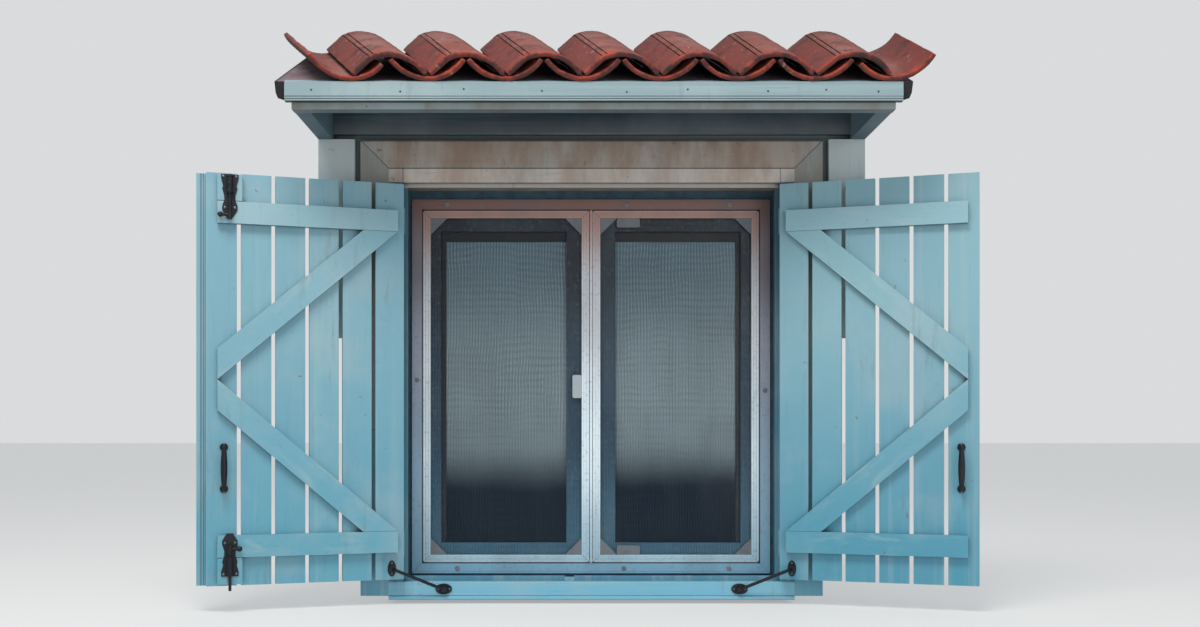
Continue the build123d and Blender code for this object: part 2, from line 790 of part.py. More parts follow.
# Stays: a rod on a pin of the sill's rosette, reaching to the eye on the leaf
rosette_z = -half_h - lining_t / 2
pivot_y = -casing_t - rosette_t - stay_stand + rosette_t
eye_z = -leaf_h / 2 + eye_above_bottom
stay_depth = leaf_inner + eye_peg_l + stay_front_clear + stay_rod_r
for name, side in SIDES.items():
    pivot = Vector(side * rosette_x, pivot_y, rosette_z)
    hook = leaf_point(side, eye_from_edge, eye_z, stay_depth)
    heading = Vector(hook.X - pivot.X, hook.Y - pivot.Y, 0).normalized()
    pin_way = heading.cross(Vector(0, 0, side))
    if pin_way.Y > 0:
        pin_way = -pin_way
    stay_plane = Plane(origin=pivot, x_dir=heading, z_dir=pin_way)
    with BuildPart() as rosette:
        with BuildSketch(front_plane(-casing_t)):
            with Locations((side * rosette_x, rosette_z)):
                Ellipse(rosette_w / 2, rosette_h / 2)
        extrude(amount=rosette_t)
        shoulder = stay_eye_t / 2 + knuckle_gap
        to_plate = (stay_stand - rosette_t / 2) / abs(pin_way.Y)
        with BuildSketch(stay_plane.offset(-to_plate)):
            Circle(stay_shoulder_r)
        extrude(amount=to_plate - shoulder)
        with BuildSketch(stay_plane.offset(-to_plate)):
            Circle(stay_pin_r)
        extrude(amount=to_plate + shoulder)
        with BuildSketch(stay_plane.offset(shoulder)):
            Circle(stay_cap_r)
        extrude(amount=stay_cap_t)
    rosette.part.label = f"{name}_stay_rosette"
    export_step(rosette.part, f"parts/{name}_stay_rosette.step")

    with BuildPart() as stay_arm:
        reach = hook - pivot
        with BuildSketch(Plane(origin=pivot, z_dir=reach)):
            Circle(stay_rod_r)
        extrude(amount=reach.length - stay_ring_r)
        with BuildSketch(stay_plane.offset(-stay_eye_t / 2)):
            Circle(stay_eye_r)
        extrude(amount=stay_eye_t)
        with BuildSketch(stay_plane.offset(-stay_eye_r)):
            Circle(stay_pin_r + pin_clear)
        extrude(amount=2 * stay_eye_r, mode=Mode.SUBTRACT)
        ring_plane = Plane(origin=hook, x_dir=heading, z_dir=pin_way)
        with BuildSketch(ring_plane.offset(-stay_ring_t / 2)):
            Circle(stay_ring_r + stay_ring_w / 2)
            Circle(stay_ring_r - stay_ring_w / 2, mode=Mode.SUBTRACT)
        extrude(amount=stay_ring_t)
    stay_arm.part.label = f"{name}_stay_arm"
    export_step(stay_arm.part, f"parts/{name}_stay_arm.step")

    with BuildPart() as stay_eye:
        with BuildSketch(leaf_plane(side, leaf_inner)):
            with Locations((side * eye_from_edge, eye_z)):
                Ellipse(eye_plate_w / 2, eye_plate_h / 2)
        extrude(amount=eye_plate_t)
        with BuildSketch(leaf_plane(side, leaf_inner)):
            with Locations((side * eye_from_edge, eye_z)):
                Circle(eye_peg_r)
        extrude(amount=eye_peg_l)
        with BuildSketch(leaf_plane(side, leaf_inner + eye_peg_l - eye_plate_t)):
            with Locations((side * eye_from_edge, eye_z)):
                Circle(eye_head_r)
        extrude(amount=eye_plate_t)
    stay_eye.part.label = f"{name}_stay_eye"
    export_step(stay_eye.part, f"parts/{name}_stay_eye.step")

# Canopy: posts on the wall with thin tongues that reach the casing, arms, beam, back board, fascia and deck
for name, side in SIDES.items():
    with BuildPart() as post:
        with BuildSketch(front_plane(0)):
            patch(side * post_inner, side * arm_outer, post_bottom, arm_bottom)
        extrude(amount=post_t)
        with BuildSketch(front_plane(0)):
            patch(side * casing_out, side * arm_outer, post_bottom, arm_bottom)
        extrude(amount=tongue_t)
        with BuildSketch(front_plane(0)):
            hole_x = side * (arm_outer - post_w / 2)
            with Locations([(hole_x, arm_bottom - drop) for drop in post_hole_drops]):
                Circle(wall_hole_r)
        extrude(amount=post_t, mode=Mode.SUBTRACT)
    post.part.label = f"post_{name}"
    export_step(post.part, f"parts/post_{name}.step")

    with BuildPart() as canopy_arm:
        arm_front = beam_front + beam_t
        with BuildSketch(Plane.YZ.offset(side * arm_outer)):
            outline([
                (arm_front, arm_bottom),
                (0, arm_bottom),
                (0, roof_under(0)),
                (arm_front, roof_under(arm_front)),
            ])
        extrude(amount=-side * arm_w)
    canopy_arm.part.label = f"canopy_arm_{name}"
    export_step(canopy_arm.part, f"parts/canopy_arm_{name}.step")

with BuildPart() as canopy_back_board:
    back_half = arm_outer - arm_w
    back_board_bottom = arm_bottom + back_board_rise
    with BuildSketch(Plane.YZ.offset(-back_half)):
        outline([
            (-back_board_t, back_board_bottom),
            (-tongue_t, back_board_bottom),
            (-tongue_t, casing_out_z),
            (0, casing_out_z),
            (0, roof_under(0)),
            (-back_board_t, roof_under(-back_board_t)),
        ])
    extrude(amount=2 * back_half)
canopy_back_board.part.label = "canopy_back_board"
export_step(canopy_back_board.part, "parts/canopy_back_board.step")

with BuildPart() as canopy_beam:
    beam_bottom = arm_bottom - beam_bottom_drop
    with BuildSketch(Plane.YZ.offset(-arm_outer)):
        outline([
            (beam_front, beam_bottom),
            (beam_front + beam_t, beam_bottom),
            (beam_front + beam_t, roof_under(beam_front + beam_t)),
            (beam_front, roof_under(beam_front)),
        ])
    extrude(amount=2 * arm_outer)
canopy_beam.part.label = "canopy_beam"
export_step(canopy_beam.part, "parts/canopy_beam.step")

with BuildPart() as canopy_fascia:
    fascia_half = arm_outer + fascia_over
    reed_step = reed_h + reed_gap
    front = -canopy_reach
    with BuildSketch(Plane.YZ.offset(-fascia_half)):
        outline([
            (front, fascia_bottom),
            (beam_front, fascia_bottom),
            (beam_front, roof_top(beam_front)),
            (front, fascia_top),
        ])
        for i in range(2):
            groove_z = fascia_bottom + reed_h + i * reed_step
            with Locations((front, groove_z + reed_gap / 2)):
                Rectangle(2 * reed_gap, reed_gap, mode=Mode.SUBTRACT)
    extrude(amount=2 * fascia_half)
canopy_fascia.part.label = "canopy_fascia"
export_step(canopy_fascia.part, "parts/canopy_fascia.step")

with BuildPart() as canopy_deck:
    with BuildSketch(Plane.YZ.offset(-fascia_half)):
        outline([
            (beam_front, roof_under(beam_front)),
            (0, roof_under(0)),
            (0, roof_top(0)),
            (beam_front, roof_top(beam_front)),
        ])
    extrude(amount=2 * fascia_half)
canopy_deck.part.label = "canopy_deck"
export_step(canopy_deck.part, "parts/canopy_deck.step")

# Dark strips that roll over the deck's two sides
slope_length = canopy_reach / math.cos(roof_angle)
slope_way = Vector(0, math.cos(roof_angle), math.sin(roof_angle))
with BuildPart() as verge_strips:
    for side in SIDES.values():
        verge_plane = Plane(
            origin=(side * fascia_half, -canopy_reach, fascia_top),
            x_dir=(1, 0, 0),
            z_dir=-slope_way,
        )
        with BuildSketch(verge_plane):
            outline([
                (0, 0),
                (side * verge_w, 0),
                (side * verge_w, verge_fillet - verge_h),
                (side * (verge_w - verge_fillet / 4), verge_fillet / 4 - verge_h),
                (side * (verge_w - verge_fillet), -verge_h),
                (0, -verge_h),
            ])
        extrude(amount=-slope_length)
verge_strips.part.label = "verge_strips"
export_step(verge_strips.part, "parts/verge_strips.step")

# Clay tiles: channels on the deck, covers over their edges, fanning out a little
tile_inner_r = tile_r - tile_t
rim_reach = tile_inner_r * math.sin(math.radians(tile_half_angle))
rim_rise = tile_inner_r * math.cos(math.radians(tile_half_angle))


def tile_plane(distance):
    """The plane across the roof's slope, distance up it from the fascia. Its y stands off the deck."""
    foot = Vector(0, -canopy_reach, fascia_top) + slope_way * distance
    return Plane(origin=foot, x_dir=(1, 0, 0), z_dir=-slope_way)


def tile_section(distance, centre_x, centre_z, middle_angle):
    """A tile's curved section round a centre, at a distance up the slope."""
    start = middle_angle - tile_half_angle
    outer = CenterArc((centre_x, centre_z), tile_r, start, 2 * tile_half_angle)
    inner = CenterArc((centre_x, centre_z), tile_inner_r, start, 2 * tile_half_angle)
    ends = [Line(outer @ 0, inner @ 0), Line(outer @ 1, inner @ 1)]
    return tile_plane(distance) * make_face([outer, inner] + ends)


def seat_height(offset):
    """How high a channel's inner face stands above the deck, offset from its middle."""
    return tile_r - math.sqrt(tile_inner_r**2 - offset**2)


def cover_centre(pitch):
    """The height of a cover's centre above the deck, where the tiles lie pitch apart."""
    return seat_height(pitch / 2 - rim_reach) + tile_seat_clear - rim_rise


tile_ends = (
    (tile_front_first, tile_front_pitch, -tile_nose),
    (tile_back_first, tile_back_pitch, tile_length - tile_nose),
)
end_leans = {0: end_tile_lean, cover_count: -end_tile_lean}
channel_sections = []
for i in range(cover_count + 1):
    middle = 270 - end_leans.get(i, 0.0)
    channel_sections.append([
        tile_section(distance, first + (i - 0.5) * pitch, tile_r, middle)
        for first, pitch, distance in tile_ends
    ])
with BuildPart() as channel_tiles:
    for sections in channel_sections:
        loft(sections, ruled=True)
channel_tiles.part.label = "channel_tiles"
export_step(channel_tiles.part, "parts/channel_tiles.step")

cover_sections = []
for i in range(cover_count):
    cover_sections.append([
        tile_section(distance, first + i * pitch, cover_centre(pitch), 90)
        for first, pitch, distance in tile_ends
    ])
with BuildPart() as cover_tiles:
    for sections in cover_sections:
        loft(sections, ruled=True)
cover_tiles.part.label = "cover_tiles"
export_step(cover_tiles.part, "parts/cover_tiles.step")
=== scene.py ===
"""Finishes and small pieces for a pair of boarded window shutters under a tiled canopy."""

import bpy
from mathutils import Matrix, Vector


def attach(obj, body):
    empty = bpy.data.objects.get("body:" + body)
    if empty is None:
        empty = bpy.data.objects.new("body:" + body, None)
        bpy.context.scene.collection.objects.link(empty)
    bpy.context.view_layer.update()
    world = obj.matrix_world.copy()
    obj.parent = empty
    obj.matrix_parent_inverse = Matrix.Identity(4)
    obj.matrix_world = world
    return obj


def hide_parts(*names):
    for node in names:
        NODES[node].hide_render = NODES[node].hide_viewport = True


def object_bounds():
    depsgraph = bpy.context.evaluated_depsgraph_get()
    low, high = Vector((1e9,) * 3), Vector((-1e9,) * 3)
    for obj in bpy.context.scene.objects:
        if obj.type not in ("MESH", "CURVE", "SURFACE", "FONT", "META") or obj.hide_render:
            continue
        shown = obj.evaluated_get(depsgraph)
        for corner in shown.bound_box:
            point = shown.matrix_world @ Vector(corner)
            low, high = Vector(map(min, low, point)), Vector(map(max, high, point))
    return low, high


bl_info = {
    "name": "Window shutters",
    "version": (1, 0, 0),
    "blender": (4, 5, 0),
    "location": "3D View > Sidebar > Shutters",
    "description": "Paints a pair of window shutters and adds their tiles, screws and marks",
    "category": "Object",
}

import math

import bpy
from bpy.props import FloatProperty, FloatVectorProperty, PointerProperty
from mathutils import Matrix, Vector

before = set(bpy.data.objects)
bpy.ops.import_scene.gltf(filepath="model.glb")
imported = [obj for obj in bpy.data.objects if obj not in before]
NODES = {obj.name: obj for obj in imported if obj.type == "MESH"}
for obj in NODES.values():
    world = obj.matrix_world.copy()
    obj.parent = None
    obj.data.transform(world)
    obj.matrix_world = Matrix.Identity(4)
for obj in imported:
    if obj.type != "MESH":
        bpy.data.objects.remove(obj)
CAD_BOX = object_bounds()
SIDES = {"left": -1, "right": 1}

# Places and sizes repeated from the part's source, in metres
LEAF_TILT = math.radians(17)
LEAF_AXIS_X = 0.5985
LEAF_AXIS_Y = -0.027
BOARD_PITCH = 0.10125
PLANK_FACE = 0.029
BRACE_END = 0.469
ASTRAGAL_HOLLOW = 0.6115
ASTRAGAL_QUIRK = 0.6045
BOLT_ALONG = 0.528
BOLT_FACE = 0.052
BARREL_DEPTH = 0.0595
TOP_BOLT_Z = 0.5505
BOTTOM_BOLT_Z = -0.527
HANDLE_ALONG = 0.545
HANDLE_Z = -0.267
HANDLE_HALF = 0.063
EYE_ALONG = 0.040
EYE_Z = -0.587
ROSETTE = (0.470, -0.024, -0.6575)
LINING_INSIDE_X = 0.600
CASING_INSIDE_X = 0.645
CASING_INSIDE_Z = 0.680
STOPS_HEAD_Z = (0.6215, 0.6225)
BACK_BOARD_SHADE_Z = (0.785, 0.865)
FASCIA_FRONT = -0.403
FASCIA_TOP = 0.842
FASCIA_GROOVES_Z = (0.7870, 0.7930, 0.8000)
DECK_EDGE_X = (0.906, 0.903)
WINDOW_Z = -0.009
WINDOW_FRONT = 0.104
SASH_FRONT = 0.126
SCREEN_TAB_Z = (0.070, 0.060)
ROOF_PITCH = math.radians(26)
TILE_RADIUS = 0.133
TILE_THICKNESS = 0.014
TILE_HALF_ANGLE = math.radians(55)
TILE_NOSE = 0.002
TILE_LENGTH = 0.440
TILE_FRONT = (-0.581, 0.220)
TILE_BACK = (-0.735, 0.244)
TILE_EDGE_Y = (-0.385, -0.396)
COVER_COUNT = 7
END_TILE_LEAN = math.radians(8)

# The window's sections: middle, half-width and half-height, and for each groove's painted shade its way inward, width
# and strength
FRAME_CORNER = (0.0, 0.588, 0.614)
FRAME_GROOVE_SHADE = ((0.0335, 0.0040, 0.9), (0.006, 0.0018, 0.4))
SCREEN_CORNER = (0.27925, 0.27425, 0.5795)
SCREEN_GROOVE_SHADE = ((0.0008, 0.0026, 0.85), (0.0085, 0.0018, 0.55), (0.0185, 0.0020, 0.5), (0.0255, 0.0020, 0.5))

# The tiles' modelling: steps of the tube, the straight flank, the scored lines and the layers of waves and dents
TILE_SEGMENTS = 216
TILE_ROWS = 44
TILE_SHOULDER = math.radians(-25)
SCORED_SEGMENTS = (-15, -11)
CLAY_LAYERS = (("clay_wave", 0.16, 0.0038), ("clay_dent", 0.035, 0.0022), ("clay_chip", 0.011, 0.0022))

# Small pieces that are added here
WALL_SCREWS = (0.690, -0.020, 0.550)
POST_SCREWS = (0.8095, -0.030, (0.263, 0.613))
# Across and along each bolt plate, measured from its middle towards the narrow end
PLATE_SCREWS = ((-0.0145, 0.036), (0.0145, 0.036), (-0.0185, -0.0575), (0.0185, -0.0575))
BARREL_BANDS = (0.011, 0.034, 0.057)
HANDLE_SCREW_PAST = 0.0088
EYE_SCREW_HALF = 0.0165
ROSETTE_SCREW_HALF = 0.018
# Across the fascia, and down from its top
FASCIA_NAILS = ((-0.806, 0.024), (-0.552, 0.029), (-0.371, 0.022), (-0.148, 0.027), (0.094, 0.030),
                (0.268, 0.023), (0.497, 0.028), (0.663, 0.024), (0.812, 0.029))
WINDOW_CAPS = ((-0.473, 0.588), (0.117, 0.588), (0.455, 0.588), (-0.571, 0.012), (0.571, -0.022),
               (-0.439, -0.606), (0.108, -0.606), (0.453, -0.606))
SASH_PLUGS = {"left": (-0.055, 0.037), "right": (0.034, 0.030)}

# Colours as they are seen
DECK_COVERING = (0.46, 0.39, 0.41)
DECK_GRIME = (0.28, 0.23, 0.25)
# From the sill up, each with the height where it is whole
# On the frame and the screens these tones are painted light and reflection over a white coat, the pinkish brown at
# the head standing for the canopy's tiles reflected
FRAME_TONES_WITH_PAINTED_LIGHT = ((-0.60, (0.49, 0.66, 0.75)), (-0.30, (0.55, 0.66, 0.74)), (0.10, (0.59, 0.61, 0.67)),
               (0.45, (0.52, 0.47, 0.49)), (0.59, (0.47, 0.34, 0.31)))
SCREEN_TONES_WITH_PAINTED_LIGHT = ((-0.60, (0.68, 0.80, 0.86)), (-0.20, (0.88, 0.94, 0.97)), (0.30, (0.88, 0.89, 0.91)),
                (0.56, (0.70, 0.54, 0.50)))
SASH_TONES = ((-0.60, (0.20, 0.38, 0.47)), (-0.10, (0.12, 0.23, 0.31)), (0.50, (0.10, 0.13, 0.16)))

# The stage: each lamp's place, aim, size, energy and colour
FLOOR_SIZE = 90
FLOOR_GAP = 0.012
LAMPS = {
    "key": ((-0.9, -2.7, 3.9), (0, 0, -0.1), (2.6, 1.6), 165.0, (1.0, 0.98, 0.95)),
    "fill": ((2.2, -4.2, 0.2), (0, 0, 0.2), (2.5, 2.5), 40.0, (0.93, 0.97, 1.0)),
}
CAMERA_PLACE = (-0.06, -3.73, -0.152)
CAMERA_SHIFT = (0.0227, 0.097)


def linear(colour):
    """A colour as it is seen, turned into the linear one that a shader takes."""
    return tuple(c / 12.92 if c <= 0.04045 else ((c + 0.055) / 1.055) ** 2.4 for c in colour[:3]) + (1.0,)


class ShutterSettings(bpy.types.PropertyGroup):
    """The colours and small sizes that can be set in the sidebar"""

    paint: FloatVectorProperty(
        name="Paint", description="Colour of the painted timber", subtype="COLOR_GAMMA",
        default=(0.48, 0.655, 0.71), min=0, max=1)
    paint_low: FloatVectorProperty(
        name="Paint near the sill", description="Colour of the paint that the rain keeps clean",
        subtype="COLOR_GAMMA", default=(0.36, 0.60, 0.68), min=0, max=1)
    paint_faded: FloatVectorProperty(
        name="Faded paint", description="Colour of chalky, faded paint", subtype="COLOR_GAMMA",
        default=(0.66, 0.72, 0.73), min=0, max=1)
    bare_wood: FloatVectorProperty(
        name="Bare wood", description="Colour of wood where the paint has worn off",
        subtype="COLOR_GAMMA", default=(0.45, 0.38, 0.33), min=0, max=1)
    clay: FloatVectorProperty(
        name="Clay", description="Colour of the roof tiles", subtype="COLOR_GAMMA",
        default=(0.48, 0.24, 0.20), min=0, max=1)
    clay_pale: FloatVectorProperty(
        name="Pale clay", description="Colour of the tiles' bleached backs", subtype="COLOR_GAMMA",
        default=(0.54, 0.35, 0.33), min=0, max=1)
    soot_and_under_shade: FloatVectorProperty(
        name="Soot", description="Colour of soot and lichen on the tiles", subtype="COLOR_GAMMA",
        default=(0.17, 0.12, 0.12), min=0, max=1)
    iron: FloatVectorProperty(
        name="Iron", description="Colour of the blackened ironwork", subtype="COLOR_GAMMA",
        default=(0.10, 0.12, 0.15), min=0, max=1)
    score_depth: FloatProperty(
        name="Score depth", description="Depth of the two lines scored along a cover tile",
        default=0.0036, min=0.0, max=0.004, unit="LENGTH")
    screw_radius: FloatProperty(
        name="Screw radius", description="Radius of the ironwork's screw heads",
        default=0.0036, min=0.001, max=0.008, unit="LENGTH")


def settings():
    return bpy.context.scene.shutter_settings


# Shaders

class Shader:
    """A material under construction, with its nodes and links."""

    def __init__(self, name, roughness, metallic=0.0):
        self.material = bpy.data.materials.new(name)
        self.material.use_nodes = True
        self.tree = self.material.node_tree
        self.tree.nodes.clear()
        self.surface = self.add("ShaderNodeBsdfPrincipled")
        shade = self.fill(self.surface, {"Roughness": roughness, "Metallic": metallic})
        self.link(shade, self.add("ShaderNodeOutputMaterial").inputs["Surface"])
        self.place = self.add("ShaderNodeTexCoord").outputs["Object"]

    def link(self, source, target):
        self.tree.links.new(source, target)

    def add(self, kind, **values):
        made = self.tree.nodes.new(kind)
        for key, value in values.items():
            setattr(made, key, value)
        return made

    def put(self, socket, value):
        if isinstance(value, bpy.types.NodeSocket):
            self.link(value, socket)
        else:
            socket.default_value = value

    def fill(self, made, values):
        """Sets or links a node's inputs, and gives its first output."""
        for key, value in values.items():
            self.put(made.inputs[key], value)
        return made.outputs[0]

    def math(self, operation, a, b=0.0, clamp=False):
        return self.fill(self.add("ShaderNodeMath", operation=operation, use_clamp=clamp), {0: a, 1: b})

    def plus(self, a, b):
        return self.math("ADD", a, b)

    def minus(self, a, b):
        return self.math("SUBTRACT", a, b)

    def times(self, a, b):
        return self.math("MULTIPLY", a, b)

    def either(self, a, b):
        return self.math("MAXIMUM", a, b)

    def wave(self, value, pitch):
        """A sine that comes back after a pitch."""
        return self.math("SINE", self.times(value, 2 * math.pi / pitch))

    def vector(self, operation, a, b=(0, 0, 0)):
        made = self.add("ShaderNodeVectorMath", operation=operation)
        self.fill(made, {0: a, 1: b})
        return made.outputs["Value" if operation == "DOT_PRODUCT" else "Vector"]

    def mapped(self, vector, scale=(1, 1, 1), rotation=(0, 0, 0), location=(0, 0, 0)):
        values = {"Vector": vector, "Scale": scale, "Rotation": rotation, "Location": location}
        return self.fill(self.add("ShaderNodeMapping"), values)

    def noise(self, vector, scale, detail=4.0, roughness=0.55, distortion=0.0):
        values = {"Vector": vector, "Scale": scale, "Detail": detail, "Roughness": roughness,
                  "Distortion": distortion}
        return self.fill(self.add("ShaderNodeTexNoise"), values)

    def ramp(self, value, low, high, to_low=0.0, to_high=1.0):
        values = {"Value": value, "From Min": low, "From Max": high, "To Min": to_low, "To Max": to_high}
        return self.fill(self.add("ShaderNodeMapRange", interpolation_type="SMOOTHSTEP"), values)

    def mix(self, factor, a, b):
        made = self.add("ShaderNodeMix", data_type="RGBA")
        self.fill(made, {"Factor": factor, "A": a, "B": b})
        return made.outputs[2]

    def coat(self, colour, mask, tone, share=None):
        """Lays a tone over a colour where a mask is whole, or up to a share of it."""
        if share is not None:
            mask = self.times(mask, share)
        return self.mix(mask, colour, linear(tone))

    def along(self, vector, axis):
        """One coordinate of a vector."""
        made = self.add("ShaderNodeSeparateXYZ")
        self.link(vector, made.inputs[0])
        return made.outputs["XYZ".index(axis)]

    def part(self, axis):
        """One of the object's own coordinates."""
        return self.along(self.place, axis)

    def away(self, axis):
        """The distance from the object's middle along an axis."""
        return self.math("ABSOLUTE", self.part(axis))

    def face(self, axis):
        """How far a surface faces along an axis."""
        return self.along(self.add("ShaderNodeNewGeometry").outputs["Normal"], axis)

    def bump(self, height, distance, strength):
        values = {"Strength": strength, "Distance": distance, "Height": height}
        self.link(self.fill(self.add("ShaderNodeBump"), values), self.surface.inputs["Normal"])

    def shade_and_grime_in_crevices(self, distance, high=0.62, low=0.22):
        """How far a place lies in a narrow joint or corner, by ambient occlusion: painted shade there, with the grime
        that gathers.
        """
        made = self.add("ShaderNodeAmbientOcclusion", samples=8)
        self.fill(made, {"Distance": distance})
        return self.ramp(made.outputs["AO"], high, low)

    def line(self, value, at, width):
        """A thin line where a value passes a place."""
        return self.ramp(self.math("ABSOLUTE", self.minus(value, at)), width / 2, width / 5)

    def edges(self, radius):
        """How near a place is to a sharp edge, where hands and weather rub the coat."""
        rounded = self.fill(self.add("ShaderNodeBevel", samples=4), {"Radius": radius})
        same = self.vector("DOT_PRODUCT", rounded, self.add("ShaderNodeNewGeometry").outputs["Normal"])
        return self.ramp(same, 0.985, 0.90)

    def graded(self, stops):
        """Colours that blend upward, each given with the height where it is whole."""
        height = self.part("Z")
        tone = linear(stops[0][1])
        for (low, _), (high, above) in zip(stops, stops[1:]):
            tone = self.coat(tone, self.ramp(height, low, high), above)
        return tone

    def colour(self, socket):
        self.link(socket, self.surface.inputs["Base Color"])

    def rough(self, socket):
        self.link(socket, self.surface.inputs["Roughness"])


def grain_place(shader, run):
    """Coordinates stretched along the timber, so that noise in them looks like grain."""
    stretch = {"upright": (1, 1, 0.03), "level": (0.03, 1, 1), "inward": (1, 0.05, 1)}
    if run in stretch:
        return shader.mapped(shader.place, scale=stretch[run])
    folded = shader.vector("ABSOLUTE", shader.place)
    turned = shader.mapped(folded, rotation=(0, math.radians(-41.0), 0))
    return shader.mapped(turned, scale=stretch["level"])


def leaf_along(shader, side):
    """The distance along an open leaf from its hinge axis."""
    along = shader.vector("DOT_PRODUCT", shader.place, (side * math.cos(LEAF_TILT), -math.sin(LEAF_TILT), 0))
    return shader.minus(along, LEAF_AXIS_X * math.cos(LEAF_TILT) - LEAF_AXIS_Y * math.sin(LEAF_TILT))


def casing_joints_and_shade(shader):
    """The casing's mitres, and a band of painted shade at its top, under the back board."""
    across = shader.minus(shader.away("X"), CASING_INSIDE_X)
    rise = shader.minus(shader.part("Z"), CASING_INSIDE_Z)
    mitre = shader.line(shader.minus(across, rise), 0.0, 0.0048)
    mitre = shader.times(mitre, shader.ramp(rise, -0.001, 0.001))
    # Painted shade: a dark band over the casing's top, under the back board
    return shader.either(mitre, shader.line(rise, 0.092, 0.020))


def casing_head_joints_and_shade(shader):
    """The same, with the joint between the casing's head and the lining's."""
    joint = shader.line(shader.minus(shader.part("Z"), CASING_INSIDE_Z), 0.0, 0.0046)
    return shader.either(casing_joints_and_shade(shader), joint)


def lining_joints(shader):
    """The joint over the lining's head, and the ends where it meets the sides."""
    ends = shader.line(shader.away("X"), LINING_INSIDE_X, 0.0030)
    return shader.either(ends, shader.line(shader.part("Z"), CASING_INSIDE_Z, 0.0036))


def fascia_groove_shade(shader):
    """Painted shade in the three fine grooves near the fascia's lower edge."""
    low, middle, high = (shader.line(shader.part("Z"), height, 0.0022) for height in FASCIA_GROOVES_Z)
    return shader.either(shader.either(low, middle), high)


def brace_joints(shader):
    """Where a brace meets the ledge, and where the two braces meet."""
    height = shader.away("Z")
    return shader.either(shader.line(height, BRACE_END, 0.0040), shader.line(height, 0.0, 0.0030))


def astragal_groove_shade(shader):
    """Painted shade in the moulding's grooves, beside the leaf's edge."""
    along = leaf_along(shader, SIDES["left"])
    hollow_shade = shader.times(shader.line(along, ASTRAGAL_HOLLOW, 0.0075), 0.6)
    return shader.either(hollow_shade, shader.line(along, ASTRAGAL_QUIRK, 0.0022))


def post_gap_shade(shader):
    """Painted shade in the gap between a post and the casing, on the post's faces near the wall."""
    return shader.ramp(shader.part("Y"), -0.013, -0.009)


def timber_paint(name, run, top, low, faded=0.35, worn=0.5, leaf=None, stain=None, marks=None, dirt_gathers=1.0,
                 head=None):
    """Brushed paint on boards: grain, brush lines, chalky patches and worn spots, with painted shade on faces that
    look down and in joints and corners.
    """
    s = settings()
    shader = Shader(name, roughness=0.62)
    grain = grain_place(shader, run)
    height = shader.part("Z")
    base = shader.coat(linear(low), shader.ramp(height, -0.62, 0.35), top)
    if head is not None:
        above, start, whole = head
        base = shader.coat(base, shader.ramp(height, start, whole), above)
    lines = shader.noise(grain, 140.0, detail=6.0, roughness=0.7)
    broad = shader.noise(grain, 26.0, detail=4.0, roughness=0.6, distortion=0.4)
    cloud = shader.noise(shader.place, 3.1, detail=5.0, roughness=0.6)
    spots = shader.noise(shader.mapped(shader.place, location=(3.7, 1.1, 5.3)), 23.0, detail=5.0, roughness=0.7)
    deep = shader.coat(base, 0.55, (0.25, 0.42, 0.49))
    colour = shader.mix(shader.ramp(lines, 0.42, 0.30, 0.0, 0.55), base, deep)
    colour = shader.coat(colour, shader.ramp(cloud, 0.45, 0.68), s.paint_faded, faded)
    colour = shader.coat(colour, shader.ramp(broad, 0.52, 0.74, 0.0, 0.30), s.paint_faded)
    if leaf is not None:
        board = shader.math("FLOOR", shader.math("DIVIDE", leaf_along(shader, leaf), BOARD_PITCH))
        toss = shader.add("ShaderNodeTexWhiteNoise", noise_dimensions="1D")
        shader.link(shader.plus(board, 7.0 * leaf + 0.5), toss.inputs["W"])
        colour = shader.coat(colour, toss.outputs["Value"], (0.36, 0.56, 0.64), 0.28)
    streak = shader.noise(shader.mapped(shader.place, scale=(1, 1, 0.12)), 34.0, detail=4.0, roughness=0.65)
    dirt = shader.times(shader.ramp(streak, 0.56, 0.76), shader.ramp(cloud, 0.40, 0.60))
    colour = shader.coat(colour, dirt, (0.33, 0.33, 0.31), 0.35)
    if stain is not None:
        brown = shader.noise(shader.mapped(shader.place, scale=(1, 1, 0.35)), 9.0, detail=6.0, roughness=0.65)
        colour = shader.coat(colour, shader.ramp(brown, 0.38, 0.66, 0.0, 0.75), stain)
    bare = 0.70 - 0.06 * worn
    gone = shader.times(shader.ramp(spots, bare, bare + 0.04), shader.ramp(lines, 0.35, 0.55))
    colour = shader.coat(colour, gone, s.bare_wood, 0.85)
    edge = shader.times(shader.edges(0.003), shader.ramp(broad, 0.40, 0.60))
    colour = shader.coat(colour, edge, (0.70, 0.75, 0.75), 0.35 + 0.3 * worn)
    # Painted shade: faces that look down are darkened, as if in shadow
    colour = shader.coat(colour, shader.ramp(shader.face("Z"), -0.55, -0.95), (0.14, 0.24, 0.28), 0.6)
    # Painted shade in joints and corners, with some grime, darkened by ambient occlusion
    colour = shader.coat(colour, shader.shade_and_grime_in_crevices(0.022), (0.10, 0.17, 0.20), 0.72 * dirt_gathers)
    colour = shader.coat(colour, shader.shade_and_grime_in_crevices(0.0045), (0.05, 0.09, 0.11), 0.80 * dirt_gathers)
    # Dark lines from the marks: joints, and on some parts painted shade in grooves, in gaps and under the back board
    if marks is not None:
        colour = shader.coat(colour, marks(shader), (0.09, 0.13, 0.15), 0.80)
    shader.colour(colour)
    shader.rough(shader.ramp(cloud, 0.3, 0.7, 0.50, 0.72))
    relief = shader.plus(shader.times(lines, 0.5), shader.times(broad, 0.5))
    shader.bump(shader.minus(relief, shader.times(gone, 0.6)), 0.0016, 0.55)
    return shader.material


